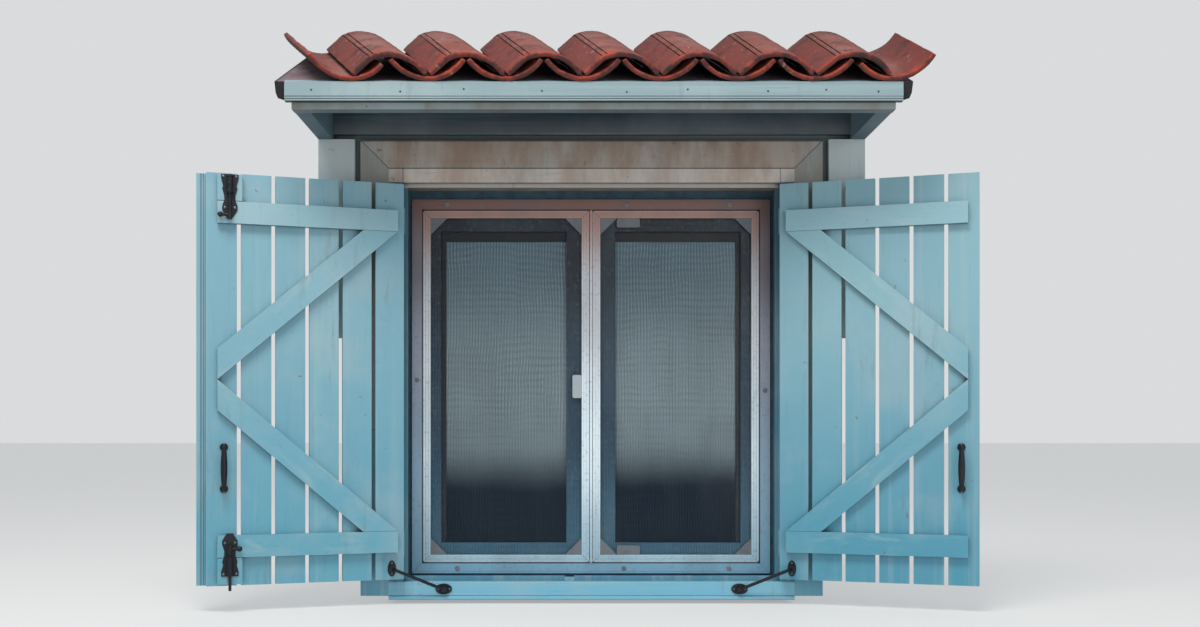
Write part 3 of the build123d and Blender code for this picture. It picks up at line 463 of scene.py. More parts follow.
def clay_finish(name, broken=(0.63, 0.24, 0.17), burning=0.75):
    """Hand-made clay with bleached backs, redder broken edges, soot on those edges and in patches, and painted shade
    under the tiles and in their hollows.
    """
    s = settings()
    shader = Shader(name, roughness=0.85)
    cloud = shader.noise(shader.place, 6.0, detail=6.0, roughness=0.62)
    fine = shader.noise(shader.place, 70.0, detail=8.0, roughness=0.7)
    spots = shader.noise(shader.mapped(shader.place, location=(1.3, 4.1, 2.2)), 16.0, detail=7.0, roughness=0.68)
    bleached = shader.times(shader.ramp(cloud, 0.38, 0.64), shader.ramp(shader.face("Z"), 0.55, 0.92, 0.25, 1.0))
    colour = shader.coat(linear(s.clay), bleached, s.clay_pale)
    colour = shader.coat(colour, shader.ramp(fine, 0.35, 0.65, 0.0, 0.35), (0.43, 0.23, 0.20))
    flank = shader.ramp(shader.math("ABSOLUTE", shader.face("X")), 0.20, 0.55)
    colour = shader.coat(colour, flank, (0.43, 0.17, 0.145), 0.85)
    depth = shader.part("Y")
    edge = shader.times(shader.ramp(depth, *TILE_EDGE_Y), shader.ramp(shader.face("Y"), -0.25, -0.7))
    colour = shader.coat(colour, edge, broken, 0.90)
    burnt = shader.times(edge, shader.ramp(spots, 0.43, 0.56))
    colour = shader.coat(colour, burnt, s.soot_and_under_shade, burning)
    # Painted shade: faces that look down are darkened with the soot colour
    colour = shader.coat(colour, shader.ramp(shader.face("Z"), -0.1, -0.55), s.soot_and_under_shade, 0.70)
    back = shader.times(shader.ramp(depth, -0.24, -0.02), 0.55)
    grime = shader.math("ADD", shader.ramp(spots, 0.50, 0.66), back, clamp=True)
    grime = shader.times(grime, shader.ramp(fine, 0.25, 0.6))
    colour = shader.coat(colour, grime, s.soot_and_under_shade, 0.80)
    # Painted shade in the tiles' hollows and where they overlap, by ambient occlusion
    colour = shader.coat(colour, shader.shade_and_grime_in_crevices(0.010, 0.93, 0.62), (0.06, 0.035, 0.035), 0.92)
    lichen = shader.noise(shader.mapped(shader.place, location=(9.3, 2.1, 7.7)), 42.0, detail=3.0)
    colour = shader.coat(colour, shader.ramp(lichen, 0.66, 0.72), (0.62, 0.60, 0.56), 0.5)
    shader.colour(colour)
    shader.bump(shader.plus(shader.times(fine, 0.6), shader.times(spots, 0.6)), 0.0024, 0.7)
    return shader.material


def metal_finish(name, colour, roughness, metallic, dust, dusty, hammer=0.0):
    """Coated metal with dust, small scratches and, on ironwork, hammer marks."""
    shader = Shader(name, roughness=roughness, metallic=metallic)
    cloud = shader.noise(shader.place, 11.0, detail=5.0, roughness=0.6)
    fine = shader.noise(shader.place, 240.0, detail=4.0, roughness=0.6)
    tone = shader.coat(linear(colour), shader.ramp(cloud, 0.45, 0.72), dust, dusty)
    scratched = tuple(min(1.0, c * 1.35) for c in colour)
    shader.colour(shader.coat(tone, shader.ramp(fine, 0.40, 0.66, 0.0, 0.18), scratched))
    shader.rough(shader.ramp(cloud, 0.3, 0.7, roughness - 0.08, roughness + 0.12))
    if hammer:
        marks = shader.add("ShaderNodeTexVoronoi", feature="SMOOTH_F1")
        shader.fill(marks, {"Vector": shader.place, "Scale": 210.0})
        shader.bump(shader.plus(marks.outputs["Distance"], shader.times(fine, 0.3)), hammer, 0.6)
    else:
        shader.bump(fine, 0.0002, 0.3)
    return shader.material


def window_finish(name, stops, corner=None, grooves=(), corner_shade=0.6, recess=None):
    """Coated window section: dusty, graded from sill to head, with a fine mitre line in each corner, painted shade in
    its grooves, corners and recess, and on the frame and screens painted light and reflection in the grading.
    """
    shader = Shader(name, roughness=0.42)
    cloud = shader.noise(shader.mapped(shader.place, scale=(1, 1, 0.3)), 8.0, detail=5.0)
    fine = shader.noise(shader.place, 90.0, detail=5.0)
    tone = shader.graded(stops)
    shade = shader.coat(tone, 0.5, (0.36, 0.42, 0.46))
    tone = shader.mix(shader.ramp(cloud, 0.42, 0.68, 0.0, 0.45), tone, shade)
    tone = shader.coat(tone, shader.ramp(fine, 0.52, 0.70, 0.0, 0.30), (0.42, 0.43, 0.44))
    if corner is not None:
        middle, half_width, half_height = corner
        across = shader.math("ABSOLUTE", shader.minus(shader.away("X"), middle))
        upright = shader.math("ABSOLUTE", shader.minus(shader.part("Z"), WINDOW_Z))
        offset = shader.minus(shader.minus(across, half_width), shader.minus(upright, half_height))
        mitre = shader.ramp(shader.math("ABSOLUTE", offset), 0.0011, 0.0005)
        tone = shader.coat(tone, mitre, (0.16, 0.19, 0.22), 0.6)
        inward = shader.math("MINIMUM", shader.minus(half_width, across), shader.minus(half_height, upright))
        # Painted shade in the section's grooves and along its outer edge
        for distance, width, strength in grooves:
            tone = shader.coat(tone, shader.line(inward, distance, width), (0.14, 0.16, 0.19), strength)
    # Painted shade in the section's corners and joints, by ambient occlusion
    tone = shader.coat(tone, shader.shade_and_grime_in_crevices(0.010), (0.07, 0.09, 0.11), corner_shade)
    # Painted shadow in the sash's rebate: front faces sunk behind the recess are darkened
    if recess is not None:
        recess_shade = shader.ramp(shader.part("Y"), recess - 0.002, recess)
        recess_shade = shader.times(recess_shade, shader.ramp(shader.face("Y"), -0.8, -0.95))
        tone = shader.coat(tone, recess_shade, (0.06, 0.05, 0.06), 0.9)
    shader.colour(tone)
    shader.rough(shader.ramp(cloud, 0.3, 0.7, 0.34, 0.54))
    shader.bump(fine, 0.0003, 0.3)
    return shader.material


def plain_finish(name, colour, roughness, patch=(0.5, 0.5, 0.5), amount=0.2, scale=30.0):
    """A dull moulded or coated surface with faint patches."""
    shader = Shader(name, roughness=roughness)
    cloud = shader.noise(shader.place, scale, detail=6.0, roughness=0.62)
    fine = shader.noise(shader.place, scale * 8, detail=4.0)
    shader.colour(shader.coat(linear(colour), shader.ramp(cloud, 0.4, 0.7, 0.0, amount), patch))
    shader.rough(shader.ramp(cloud, 0.3, 0.7, roughness - 0.1, roughness + 0.1))
    shader.bump(shader.plus(cloud, shader.times(fine, 0.4)), 0.0006, 0.5)
    return shader.material


def verge_finish(name):
    """A black strip at the deck's side, its top covered by the deck's own covering."""
    shader = Shader(name, roughness=0.7)
    cloud = shader.noise(shader.place, 14.0, detail=6.0, roughness=0.62)
    covering = shader.coat(linear(DECK_COVERING), shader.ramp(cloud, 0.4, 0.7, 0.0, 0.7), DECK_GRIME)
    strip = shader.coat(linear((0.07, 0.07, 0.09)), shader.ramp(cloud, 0.4, 0.7, 0.0, 0.3), (0.22, 0.21, 0.22))
    top = shader.times(shader.ramp(shader.face("Z"), 0.5, 0.8), shader.ramp(shader.away("X"), *DECK_EDGE_X))
    shader.colour(shader.mix(top, strip, covering))
    shader.bump(cloud, 0.0012, 0.5)
    return shader.material


def fittings_finish(name):
    """Grey moulded corner pieces, with the paler tab at mid-height and painted shade in their corners."""
    shader = Shader(name, roughness=0.5)
    cloud = shader.noise(shader.place, 30.0, detail=6.0, roughness=0.62)
    tone = shader.coat(linear((0.42, 0.44, 0.46)), shader.ramp(cloud, 0.4, 0.7, 0.0, 0.4), (0.30, 0.31, 0.32))
    tone = shader.coat(tone, shader.ramp(shader.away("Z"), *SCREEN_TAB_Z), (0.64, 0.68, 0.70))
    # Painted shade in corners, by ambient occlusion
    shader.colour(shader.coat(tone, shader.shade_and_grime_in_crevices(0.006), (0.08, 0.09, 0.10), 0.6))
    shader.bump(cloud, 0.0005, 0.5)
    return shader.material


def glass_finish(name):
    """Dusty double glazing with a painted reflection: dark near the sill and greyer above, with light lines of
    painted reflection in the pattern of the screen cloth before it.
    """
    shader = Shader(name, roughness=0.08)
    height = shader.part("Z")
    cloud = shader.noise(shader.place, 2.3, detail=4.0)
    streak = shader.noise(shader.mapped(shader.place, scale=(1, 1, 0.06)), 18.0, detail=5.0)
    level = shader.plus(height, shader.times(cloud, 0.10))
    # Painted reflection: dark near the sill and greyer above, standing for the sky and the dark surroundings mirrored
    # in the glass
    tone = shader.coat(linear((0.015, 0.085, 0.15)), shader.ramp(level, -0.30, -0.13), (0.48, 0.54, 0.56))
    tone = shader.coat(tone, shader.ramp(height, 0.02, 0.62), (0.36, 0.45, 0.50))
    tone = shader.coat(tone, shader.ramp(cloud, 0.40, 0.70, 0.0, 0.20), (0.16, 0.20, 0.23))
    # Painted reflection: light lines in the screen cloth's pattern, where sky light shows through it on the glass
    warp = shader.wave(shader.plus(shader.part("X"), shader.times(cloud, 0.05)), 0.0105)
    weft = shader.wave(shader.plus(level, shader.times(streak, 0.02)), 0.021)
    painted_mesh_reflection = shader.times(shader.ramp(warp, -0.4, 1.0), shader.ramp(weft, -0.9, 0.6, 0.45, 1.0))
    painted_mesh_reflection = shader.times(painted_mesh_reflection, shader.ramp(height, -0.27, -0.02))
    tone = shader.coat(tone, painted_mesh_reflection, (0.66, 0.73, 0.76), 0.38)
    shader.colour(shader.coat(tone, shader.ramp(streak, 0.50, 0.72, 0.0, 0.14), (0.20, 0.24, 0.27)))
    shader.rough(shader.ramp(streak, 0.35, 0.70, 0.12, 0.22))
    shader.surface.inputs["Specular IOR Level"].default_value = 0.22
    return shader.material


def mesh_finish(name):
    """Fine woven screen cloth, mostly see-through, with slack threads up and across."""
    shader = Shader(name, roughness=0.7)
    sag = shader.noise(shader.mapped(shader.place, scale=(1, 1, 0.4)), 6.0, detail=2.0)
    drift = shader.noise(shader.mapped(shader.place, scale=(1, 1, 0.25)), 16.0, detail=3.0)
    patchy = shader.noise(shader.mapped(shader.place, location=(2.0, 0.0, 6.0)), 10.0, detail=3.0)
    warp = shader.wave(shader.plus(shader.part("X"), shader.times(drift, 0.012)), 0.0088)
    warp = shader.times(shader.ramp(warp, 0.1, 0.95), shader.ramp(patchy, 0.30, 0.62, 0.35, 1.0))
    weft = shader.wave(shader.plus(shader.part("Z"), shader.times(sag, 0.030)), 0.024)
    weft = shader.times(shader.ramp(weft, 0.0, 0.9), shader.ramp(drift, 0.35, 0.65))
    cover = shader.plus(shader.times(warp, 0.11), shader.times(weft, 0.04))
    shader.link(shader.plus(cover, 0.02), shader.surface.inputs["Alpha"])
    shader.surface.inputs["Specular IOR Level"].default_value = 0.1
    shader.colour(shader.coat(linear((0.11, 0.18, 0.23)), shader.ramp(sag, 0.3, 0.7), (0.18, 0.26, 0.31)))
    return shader.material


def wear(material, *nodes):
    """Gives CAD nodes their finish."""
    for node in nodes:
        data = NODES[node].data
        data.materials.clear()
        data.materials.append(material)


def paint(nodes, name, run, top, low, **more):
    """Gives CAD nodes a coat of paint of their own."""
    wear(timber_paint("paint_" + name, run, top, low, **more), *nodes)


# Modelling helpers

def deselect():
    if bpy.context.mode != "OBJECT":
        bpy.ops.object.mode_set(mode="OBJECT")
    bpy.ops.object.select_all(action="DESELECT")


def choose(obj):
    """Makes an object the only one that is selected, and the active one."""
    deselect()
    obj.select_set(True)
    bpy.context.view_layer.objects.active = obj


def settle(obj):
    """Applies the object's place, so that the finished piece sits at the origin."""
    choose(obj)
    bpy.ops.object.transform_apply(location=True, rotation=True, scale=True)


def apply_modifiers(obj):
    choose(obj)
    for modifier in list(obj.modifiers):
        bpy.ops.object.modifier_apply(modifier=modifier.name)


def dress(obj, body, material, smooth=35.0):
    """Finishes a piece: its material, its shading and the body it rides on."""
    choose(obj)
    obj.data.materials.clear()
    obj.data.materials.append(material)
    bpy.ops.object.shade_smooth_by_angle(angle=math.radians(smooth))
    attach(obj, body)
    return obj


def join(pieces, name):
    """Joins pieces into one, in their order."""
    deselect()
    for piece in pieces:
        piece.select_set(True)
    bpy.context.view_layer.objects.active = pieces[0]
    if len(pieces) > 1:
        bpy.ops.object.join()
    joined = bpy.context.view_layer.objects.active
    joined.name = name
    return joined


def copy_of(obj):
    made = obj.copy()
    made.data = obj.data.copy()
    bpy.context.scene.collection.objects.link(made)
    return made


def leaf_matrix(side):
    """From a leaf's own places (along, depth, height) to the row frame."""
    along = Vector((side * math.cos(LEAF_TILT), -math.sin(LEAF_TILT), 0))
    out = Vector((-side * math.sin(LEAF_TILT), -math.cos(LEAF_TILT), 0))
    up = Vector((0, 0, 1))
    turn = Matrix((along, out, up)).transposed().to_4x4()
    return Matrix.Translation((side * LEAF_AXIS_X, LEAF_AXIS_Y, 0)) @ turn


def select_faces(obj, wanted):
    """Selects the faces of an object in edit mode for which wanted(face) is true."""
    choose(obj)
    bpy.ops.object.mode_set(mode="EDIT")
    bpy.ops.mesh.select_all(action="DESELECT")
    bpy.ops.mesh.select_mode(type="FACE")
    bpy.ops.object.mode_set(mode="OBJECT")
    for face in obj.data.polygons:
        face.select = wanted(face)
    bpy.ops.object.mode_set(mode="EDIT")


def screw_head(radius, height):
    """A slotted, slightly domed screw head that faces +Z, modelled from a disc."""
    deselect()
    bpy.ops.mesh.primitive_cylinder_add(vertices=20, radius=radius, depth=height, location=(0, 0, height / 2))
    head = bpy.context.object
    bpy.ops.object.transform_apply(location=True)
    select_faces(head, lambda face: face.normal.z > 0.9)
    bpy.ops.mesh.inset(thickness=radius * 0.28, depth=height * 0.35)
    bpy.ops.mesh.inset(thickness=radius * 0.30, depth=height * 0.12)
    bpy.ops.mesh.inset(thickness=radius * 0.12, depth=-height * 0.30)
    bpy.ops.object.mode_set(mode="OBJECT")
    return head


def set_screws(name, places, body, material, radius, height):
    """Copies one screw head to each place, given as matrices."""
    pattern = screw_head(radius, height)
    heads = []
    for place in places:
        head = copy_of(pattern)
        head.data.transform(place)
        if place.determinant() < 0:
            head.data.flip_normals()
        heads.append(head)
    bpy.data.objects.remove(pattern)
    return dress(join(heads, name), body, material)


def on_leaf(side, along, depth, height, turn):
    """Where a screw sits on an open leaf, its head away from the wall."""
    face = Matrix.Rotation(math.radians(-90), 4, "X") @ Matrix.Rotation(turn, 4, "Z")
    return leaf_matrix(side) @ Matrix.Translation((along, depth, height)) @ face


def collar(radius, width):
    """A rounded band round a bolt's barrel, its axis along +Z."""
    deselect()
    bpy.ops.mesh.primitive_cylinder_add(vertices=32, radius=radius, depth=width, end_fill_type="NOTHING")
    band = bpy.context.object
    wall = band.modifiers.new("Wall", "SOLIDIFY")
    wall.thickness = 0.0018
    wall.offset = 1.0
    edge = band.modifiers.new("Edge", "BEVEL")
    edge.width = 0.0007
    edge.segments = 2
    edge.angle_limit = math.radians(40)
    apply_modifiers(band)
    return band


def at_front(place):
    """A matrix that turns +Z to the front, at a place."""
    turn = Vector((0, -1, 0)).to_track_quat("Z", "Y").to_matrix().to_4x4()
    return Matrix.Translation(place) @ turn


# Clay tiles

def cover_rise(pitch):
    """Height of a cover tile's centre above the deck, resting in the channels beside it."""
    inner = TILE_RADIUS - TILE_THICKNESS
    offset = pitch / 2 - inner * math.sin(TILE_HALF_ANGLE)
    seat = TILE_RADIUS - math.sqrt(inner ** 2 - offset ** 2)
    return seat + 0.0003 - inner * math.cos(TILE_HALF_ANGLE)


def flatten_flank(tile):
    """Straightens a cover tile's left flank, from its foot to the shoulder by the scored lines."""
    middle = (TILE_SHOULDER - TILE_HALF_ANGLE) / 2
    half = (TILE_SHOULDER + TILE_HALF_ANGLE) / 2
    for vertex in tile.data.vertices:
        angle = math.atan2(vertex.co.x, vertex.co.z)
        if angle < TILE_SHOULDER:
            radius = TILE_RADIUS * math.cos(half) / math.cos(angle - middle)
            vertex.co.x = radius * math.sin(angle)
            vertex.co.z = radius * math.cos(angle)


def tile_shell(scored):
    """One curved tile along +Y, its crest up, cut from a tube and thickened inwards."""
    deselect()
    bpy.ops.mesh.primitive_cylinder_add(
        vertices=TILE_SEGMENTS, radius=TILE_RADIUS, depth=TILE_LENGTH, end_fill_type="NOTHING",
        location=(0, TILE_LENGTH / 2, 0), rotation=(math.radians(90), 0, 0))
    tile = bpy.context.object
    bpy.ops.object.transform_apply(location=True, rotation=True)
    select_faces(tile, lambda face: abs(math.atan2(face.center.x, face.center.z)) > TILE_HALF_ANGLE)
    bpy.ops.mesh.delete(type="FACE")
    for step in range(1, TILE_ROWS):
        bpy.ops.mesh.select_all(action="SELECT")
        bpy.ops.mesh.bisect(plane_co=(0, TILE_LENGTH * step / TILE_ROWS, 0), plane_no=(0, 1, 0))
    bpy.ops.mesh.select_all(action="SELECT")
    bpy.ops.mesh.normals_make_consistent(inside=False)
    bpy.ops.object.mode_set(mode="OBJECT")
    first = tile.data.polygons[0]
    if first.normal.dot(Vector((first.center.x, 0, first.center.z))) < 0:
        bpy.ops.object.mode_set(mode="EDIT")
        bpy.ops.mesh.select_all(action="SELECT")
        bpy.ops.mesh.flip_normals()
        bpy.ops.object.mode_set(mode="OBJECT")
    if scored:
        flatten_flank(tile)
    wall = tile.modifiers.new("Wall", "SOLIDIFY")
    wall.thickness = TILE_THICKNESS
    wall.offset = -1.0
    edge = tile.modifiers.new("Edge", "BEVEL")
    edge.width = 0.0028
    edge.segments = 2
    edge.limit_method = "ANGLE"
    edge.angle_limit = math.radians(50)
    apply_modifiers(tile)
    if scored:
        step = 2 * math.pi / TILE_SEGMENTS
        for number in SCORED_SEGMENTS:
            middle = (number + 0.5) * step

            def on_line(face):
                radius = math.hypot(face.center.x, face.center.z)
                angle = math.atan2(face.center.x, face.center.z)
                inside = 0.012 < face.center.y < TILE_LENGTH - 0.01
                return radius > TILE_RADIUS - 0.008 and abs(angle - middle) < step * 0.4 and inside

            select_faces(tile, on_line)
            bpy.ops.mesh.inset(thickness=0.0003, depth=-settings().score_depth)
            bpy.ops.object.mode_set(mode="OBJECT")
    return tile


def tile_matrix(index, rise_front, rise_back):
    """The slanted place of a tile on the roof, from its own axis."""
    front = TILE_FRONT[0] + index * TILE_FRONT[1]
    back = TILE_BACK[0] + index * TILE_BACK[1]
    slant = Matrix.Identity(4)
    slant[0][1] = (back - front) / TILE_LENGTH
    slant[0][3] = front
    slant[2][1] = (rise_back - rise_front) / TILE_LENGTH
    slant[2][3] = rise_front
    slope = Matrix.Rotation(ROOF_PITCH, 4, "X")
    return Matrix.Translation((0, FASCIA_FRONT, FASCIA_TOP)) @ slope @ Matrix.Translation((0, -TILE_NOSE, 0)) @ slant


def roughen(obj):
    """Waves and dents that a hand-made tile has, by layers of displacement."""
    for name, size, strength in CLAY_LAYERS:
        texture = bpy.data.textures.get(name) or bpy.data.textures.new(name, "CLOUDS")
        texture.noise_scale = size
        texture.noise_depth = 3
        layer = obj.modifiers.new(name, "DISPLACE")
        layer.texture = texture
        layer.texture_coords = "LOCAL"
        layer.strength = strength
        layer.mid_level = 0.5
    apply_modifiers(obj)


def lay_row(name, pattern, places, clay):
    """Copies a tile to each place, given as the matrices that take it there in turn, and joins the copies."""
    tiles = []
    for matrices in places:
        tile = copy_of(pattern)
        for matrix in matrices:
            tile.data.transform(matrix)
        roughen(tile)
        tiles.append(tile)
    bpy.data.objects.remove(pattern)
    return dress(join(tiles, name), "frame", clay, smooth=40.0)


class SHUTTERS_OT_roof_tiles(bpy.types.Operator):
    """Models the cover and channel tiles and lays them on the deck"""

    bl_idname = "shutters.roof_tiles"
    bl_label = "Lay roof tiles"

    def execute(self, context):
        clay = clay_finish("weathered_clay")
        rises = [cover_rise(pitch) + 0.001 for _, pitch in (TILE_FRONT, TILE_BACK)]
        places = [(tile_matrix(index, *rises),) for index in range(COVER_COUNT)]
        cover = lay_row("cover_tile_row", tile_shell(scored=True), places, clay)
        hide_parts("cover_tiles")

        leans = [END_TILE_LEAN] + [0.0] * (COVER_COUNT - 1) + [-END_TILE_LEAN]
        places = [(Matrix.Rotation(-(math.pi - lean), 4, "Y"), tile_matrix(index - 0.5, TILE_RADIUS, TILE_RADIUS))
                  for index, lean in enumerate(leans)]
        bright = clay_finish("weathered_clay_channels", broken=(0.72, 0.26, 0.16), burning=0.6)
        channel = lay_row("channel_tile_row", tile_shell(scored=False), places, bright)
        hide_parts("channel_tiles")
        return {"FINISHED"}


class SHUTTERS_OT_timber(bpy.types.Operator):
    """Paints the lining, the casing, the canopy and the two leaves"""

    bl_idname = "shutters.timber"
    bl_label = "Paint timber"

    def execute(self, context):
        s = settings()
        low = tuple(s.paint_low)
        leaf_paint = {"left": (tuple(s.paint), (0.36, 0.62, 0.70)),
                      "right": ((0.51, 0.67, 0.71), (0.29, 0.57, 0.66))}
        for side, sign in SIDES.items():
            top, bottom = leaf_paint[side]
            paint([f"{side}_planks"], f"{side}_boards", "upright", top, bottom, leaf=sign)
            paint([f"{side}_braces"], f"{side}_braces", "brace", top, bottom, faded=0.3, marks=brace_joints)
            paint([f"{side}_top_ledge", f"{side}_bottom_ledge"], f"{side}_ledges", "level",
                  (0.54, 0.69, 0.73), bottom, faded=0.3)
        paint(["astragal"], "astragal", "upright", *leaf_paint["left"], marks=astragal_groove_shade)
        paint(["bolt_pads"], "bolt_pads", "upright", *leaf_paint["left"])
        paint(["lining_left", "lining_right"], "lining", "upright", (0.27, 0.42, 0.48), (0.22, 0.46, 0.55), faded=0.2)
        paint(["casing_left", "casing_right"], "casing", "upright", (0.56, 0.54, 0.50), low,
              faded=0.4, marks=casing_joints_and_shade)
        paint(["post_left", "post_right"], "posts", "upright", (0.74, 0.78, 0.78), low,
              faded=0.5, worn=0.8, marks=post_gap_shade)
        paint(["lining_sill", "sill_lip"], "sill", "level", (0.52, 0.72, 0.80), (0.45, 0.70, 0.79),
              faded=0.25, dirt_gathers=0.35)
        paint(["closing_stops"], "stops", "upright", (0.27, 0.43, 0.49), (0.28, 0.51, 0.60),
              faded=0.15, head=((0.70, 0.65, 0.61), *STOPS_HEAD_Z))
        paint(["casing_head"], "worn_head", "level", (0.66, 0.61, 0.56), (0.5, 0.55, 0.55),
              worn=1.2, stain=(0.54, 0.44, 0.37), marks=casing_head_joints_and_shade)
        paint(["lining_head"], "lining_head", "level", (0.80, 0.76, 0.72), (0.5, 0.55, 0.55),
              worn=1.0, stain=(0.66, 0.57, 0.51), marks=lining_joints)
        paint(["canopy_fascia"], "fascia", "level", (0.51, 0.60, 0.62), (0.5, 0.6, 0.62),
              faded=0.4, worn=0.9, marks=fascia_groove_shade)
        paint(["canopy_beam"], "beam", "level", (0.56, 0.60, 0.60), (0.5, 0.58, 0.6),
              faded=0.3, stain=(0.52, 0.48, 0.44))
        # Painted shade under the deck: the arms' and the back board's paint is darkened, the back board's most at its
        # top
        paint(["canopy_arm_left", "canopy_arm_right"], "canopy_arms_shaded", "inward", (0.36, 0.47, 0.52), low, faded=0.15)
        paint(["canopy_back_board"], "back_board", "level", (0.33, 0.36, 0.37), low,
              faded=0.1, worn=0.2, head=((0.10, 0.22, 0.28), *BACK_BOARD_SHADE_Z))
        deck = plain_finish("deck_covering", DECK_COVERING, 0.85, patch=DECK_GRIME, amount=0.7, scale=14.0)
        wear(deck, "canopy_deck")
        wear(verge_finish("verge_strip"), "verge_strips")

        coated = plain_finish("painted_screw", (0.46, 0.60, 0.64), 0.55, patch=(0.34, 0.28, 0.25), amount=0.6)
        x, y, z = WALL_SCREWS
        places = [at_front((sign * x, y, end * z)) for sign in SIDES.values() for end in (-1, 1)]
        x, y, heights = POST_SCREWS
        places += [at_front((sign * x, y, z)) for sign in SIDES.values() for z in heights]
        set_screws("wall_screws", places, "frame", coated, radius=0.0064, height=0.0016)
        rust = plain_finish("nail_rust", (0.20, 0.15, 0.13), 0.8, patch=(0.40, 0.44, 0.44), amount=0.4)
        places = [at_front((x, FASCIA_FRONT, FASCIA_TOP - drop)) for x, drop in FASCIA_NAILS]
        set_screws("fascia_nails", places, "frame", rust, radius=0.0029, height=0.0004)
        return {"FINISHED"}


class SHUTTERS_OT_ironwork(bpy.types.Operator):
    """Blackens the bolts, handles and stays, and sets their screws"""

    bl_idname = "shutters.ironwork"
    bl_label = "Finish ironwork"

    def execute(self, context):
        s = settings()
        iron = metal_finish("black_iron", tuple(s.iron), 0.42, 0.55, (0.30, 0.26, 0.24), 0.25, hammer=0.0012)
        black = ("left_handle", "right_handle", "_bolt_plate", "_bolt_rod", "_stay_rosette", "_stay_arm", "_stay_eye")
        wear(iron, *(name for name in NODES if name.endswith(black)))
        hinge = metal_finish("painted_hinge", (0.42, 0.58, 0.64), 0.55, 0.0, (0.38, 0.30, 0.26), 0.5)
        wear(hinge, *(f"{side}_{half}_hinges" for side in SIDES for half in ("frame", "leaf")))

        bright = metal_finish("bright_screw", (0.42, 0.44, 0.47), 0.30, 0.85, (0.30, 0.27, 0.25), 0.3)
        for name, z, way in (("top", TOP_BOLT_Z, -1), ("bottom", BOTTOM_BOLT_Z, 1)):
            places = [on_leaf(-1, BOLT_ALONG + x, BOLT_FACE, z + way * up, turn=0.6 + 40 * x)
                      for x, up in PLATE_SCREWS]
            set_screws(f"{name}_bolt_screws", places, "left_leaf", bright, radius=s.screw_radius, height=0.0018)
            bands = []
            for drop in BARREL_BANDS:
                band = collar(0.0083, 0.005)
                band.data.transform(leaf_matrix(-1) @ Matrix.Translation((BOLT_ALONG, BARREL_DEPTH, z - way * drop)))
                bands.append(band)
            dress(join(bands, f"{name}_barrel_bands"), "left_leaf", iron)
        for side, sign in SIDES.items():
            past = HANDLE_HALF + HANDLE_SCREW_PAST
            spots = [(HANDLE_ALONG, 0.004, HANDLE_Z + end * past, end) for end in (-1, 1)]
            spots += [(EYE_ALONG, 0.003, EYE_Z + end * EYE_SCREW_HALF, 0.4) for end in (-1, 1)]
            places = [on_leaf(sign, along, PLANK_FACE + out, z, turn) for along, out, z, turn in spots]
            set_screws(f"{side}_leaf_screws", places, f"{side}_leaf", bright, radius=0.0025, height=0.0012)
            x, y, z = ROSETTE
            places = [at_front((sign * x + end * ROSETTE_SCREW_HALF, y, z)) for end in (-1, 1)]
            set_screws(f"{side}_rosette_screws", places, "frame", bright, radius=0.0030, height=0.0014)
        return {"FINISHED"}


class SHUTTERS_OT_window(bpy.types.Operator):
    """Finishes the window, its screens and its sashes"""

    bl_idname = "shutters.window"
    bl_label = "Finish window"

    def execute(self, context):
        outer = window_finish("window_coating", FRAME_TONES_WITH_PAINTED_LIGHT, FRAME_CORNER, FRAME_GROOVE_SHADE)
        wear(outer, "window_frame", "sash_frame_hinges")
        wear(window_finish("mullion_coating", SCREEN_TONES_WITH_PAINTED_LIGHT), "window_mullion")
        inner = window_finish("screen_coating", SCREEN_TONES_WITH_PAINTED_LIGHT, SCREEN_CORNER, SCREEN_GROOVE_SHADE)
        wear(inner, "screen_left", "screen_right")
        wear(mesh_finish("screen_cloth"), "mesh_left", "mesh_right")
        sash = window_finish("sash_coating", SASH_TONES, corner_shade=0.9, recess=SASH_FRONT + 0.011)
        wear(sash, "sash_left", "sash_right")
        wear(glass_finish("dusty_glass_painted_reflection"), "glass_left", "glass_right")
        wear(fittings_finish("grey_plastic"), "screen_fittings", "sash_handle")
        # Painted shade: the packing in the gap round the window is coloured as that gap's shadow
        gap_shade = plain_finish("packing_foam", (0.24, 0.33, 0.38), 0.9, patch=(0.16, 0.20, 0.23), amount=0.4)
        wear(gap_shade, "window_packing")

        places = [at_front((x, WINDOW_FRONT, z)) for x, z in WINDOW_CAPS]
        cap = plain_finish("screw_cap", (0.40, 0.42, 0.44), 0.40, patch=(0.56, 0.54, 0.53), amount=0.5, scale=60.0)
        set_screws("window_caps", places, "frame", cap, radius=0.0076, height=0.0024)
        dot = plain_finish("sash_plug", (0.05, 0.06, 0.07), 0.5)
        for side, (x, z) in SASH_PLUGS.items():
            places = [at_front((x, SASH_FRONT, z))]
            set_screws(f"{side}_sash_plug", places, f"{side}_sash", dot, radius=0.0038, height=0.0012)
        return {"FINISHED"}


def pale_to_view(tree, plain, pale, target, share):
    """Shows a pale shader to the view, also by way of metal and glass, and the plain one to all other rays."""
    path = tree.nodes.new("ShaderNodeLightPath")
    seen = path.outputs["Is Camera Ray"]
    for kind in ("Is Glossy Ray", "Is Transmission Ray"):
        either = tree.nodes.new("ShaderNodeMath")
        either.operation = "MAXIMUM"
        tree.links.new(seen, either.inputs[0])
        tree.links.new(path.outputs[kind], either.inputs[1])
        seen = either.outputs[0]
    part = tree.nodes.new("ShaderNodeMath")
    part.operation = "MULTIPLY"
    part.inputs[1].default_value = share
    tree.links.new(seen, part.inputs[0])
    both = tree.nodes.new("ShaderNodeMixShader")
    tree.links.new(part.outputs[0], both.inputs[0])
    tree.links.new(plain.outputs[0], both.inputs[1])
    tree.links.new(pale.outputs[0], both.inputs[2])
    tree.links.new(both.outputs[0], target.inputs["Surface"])


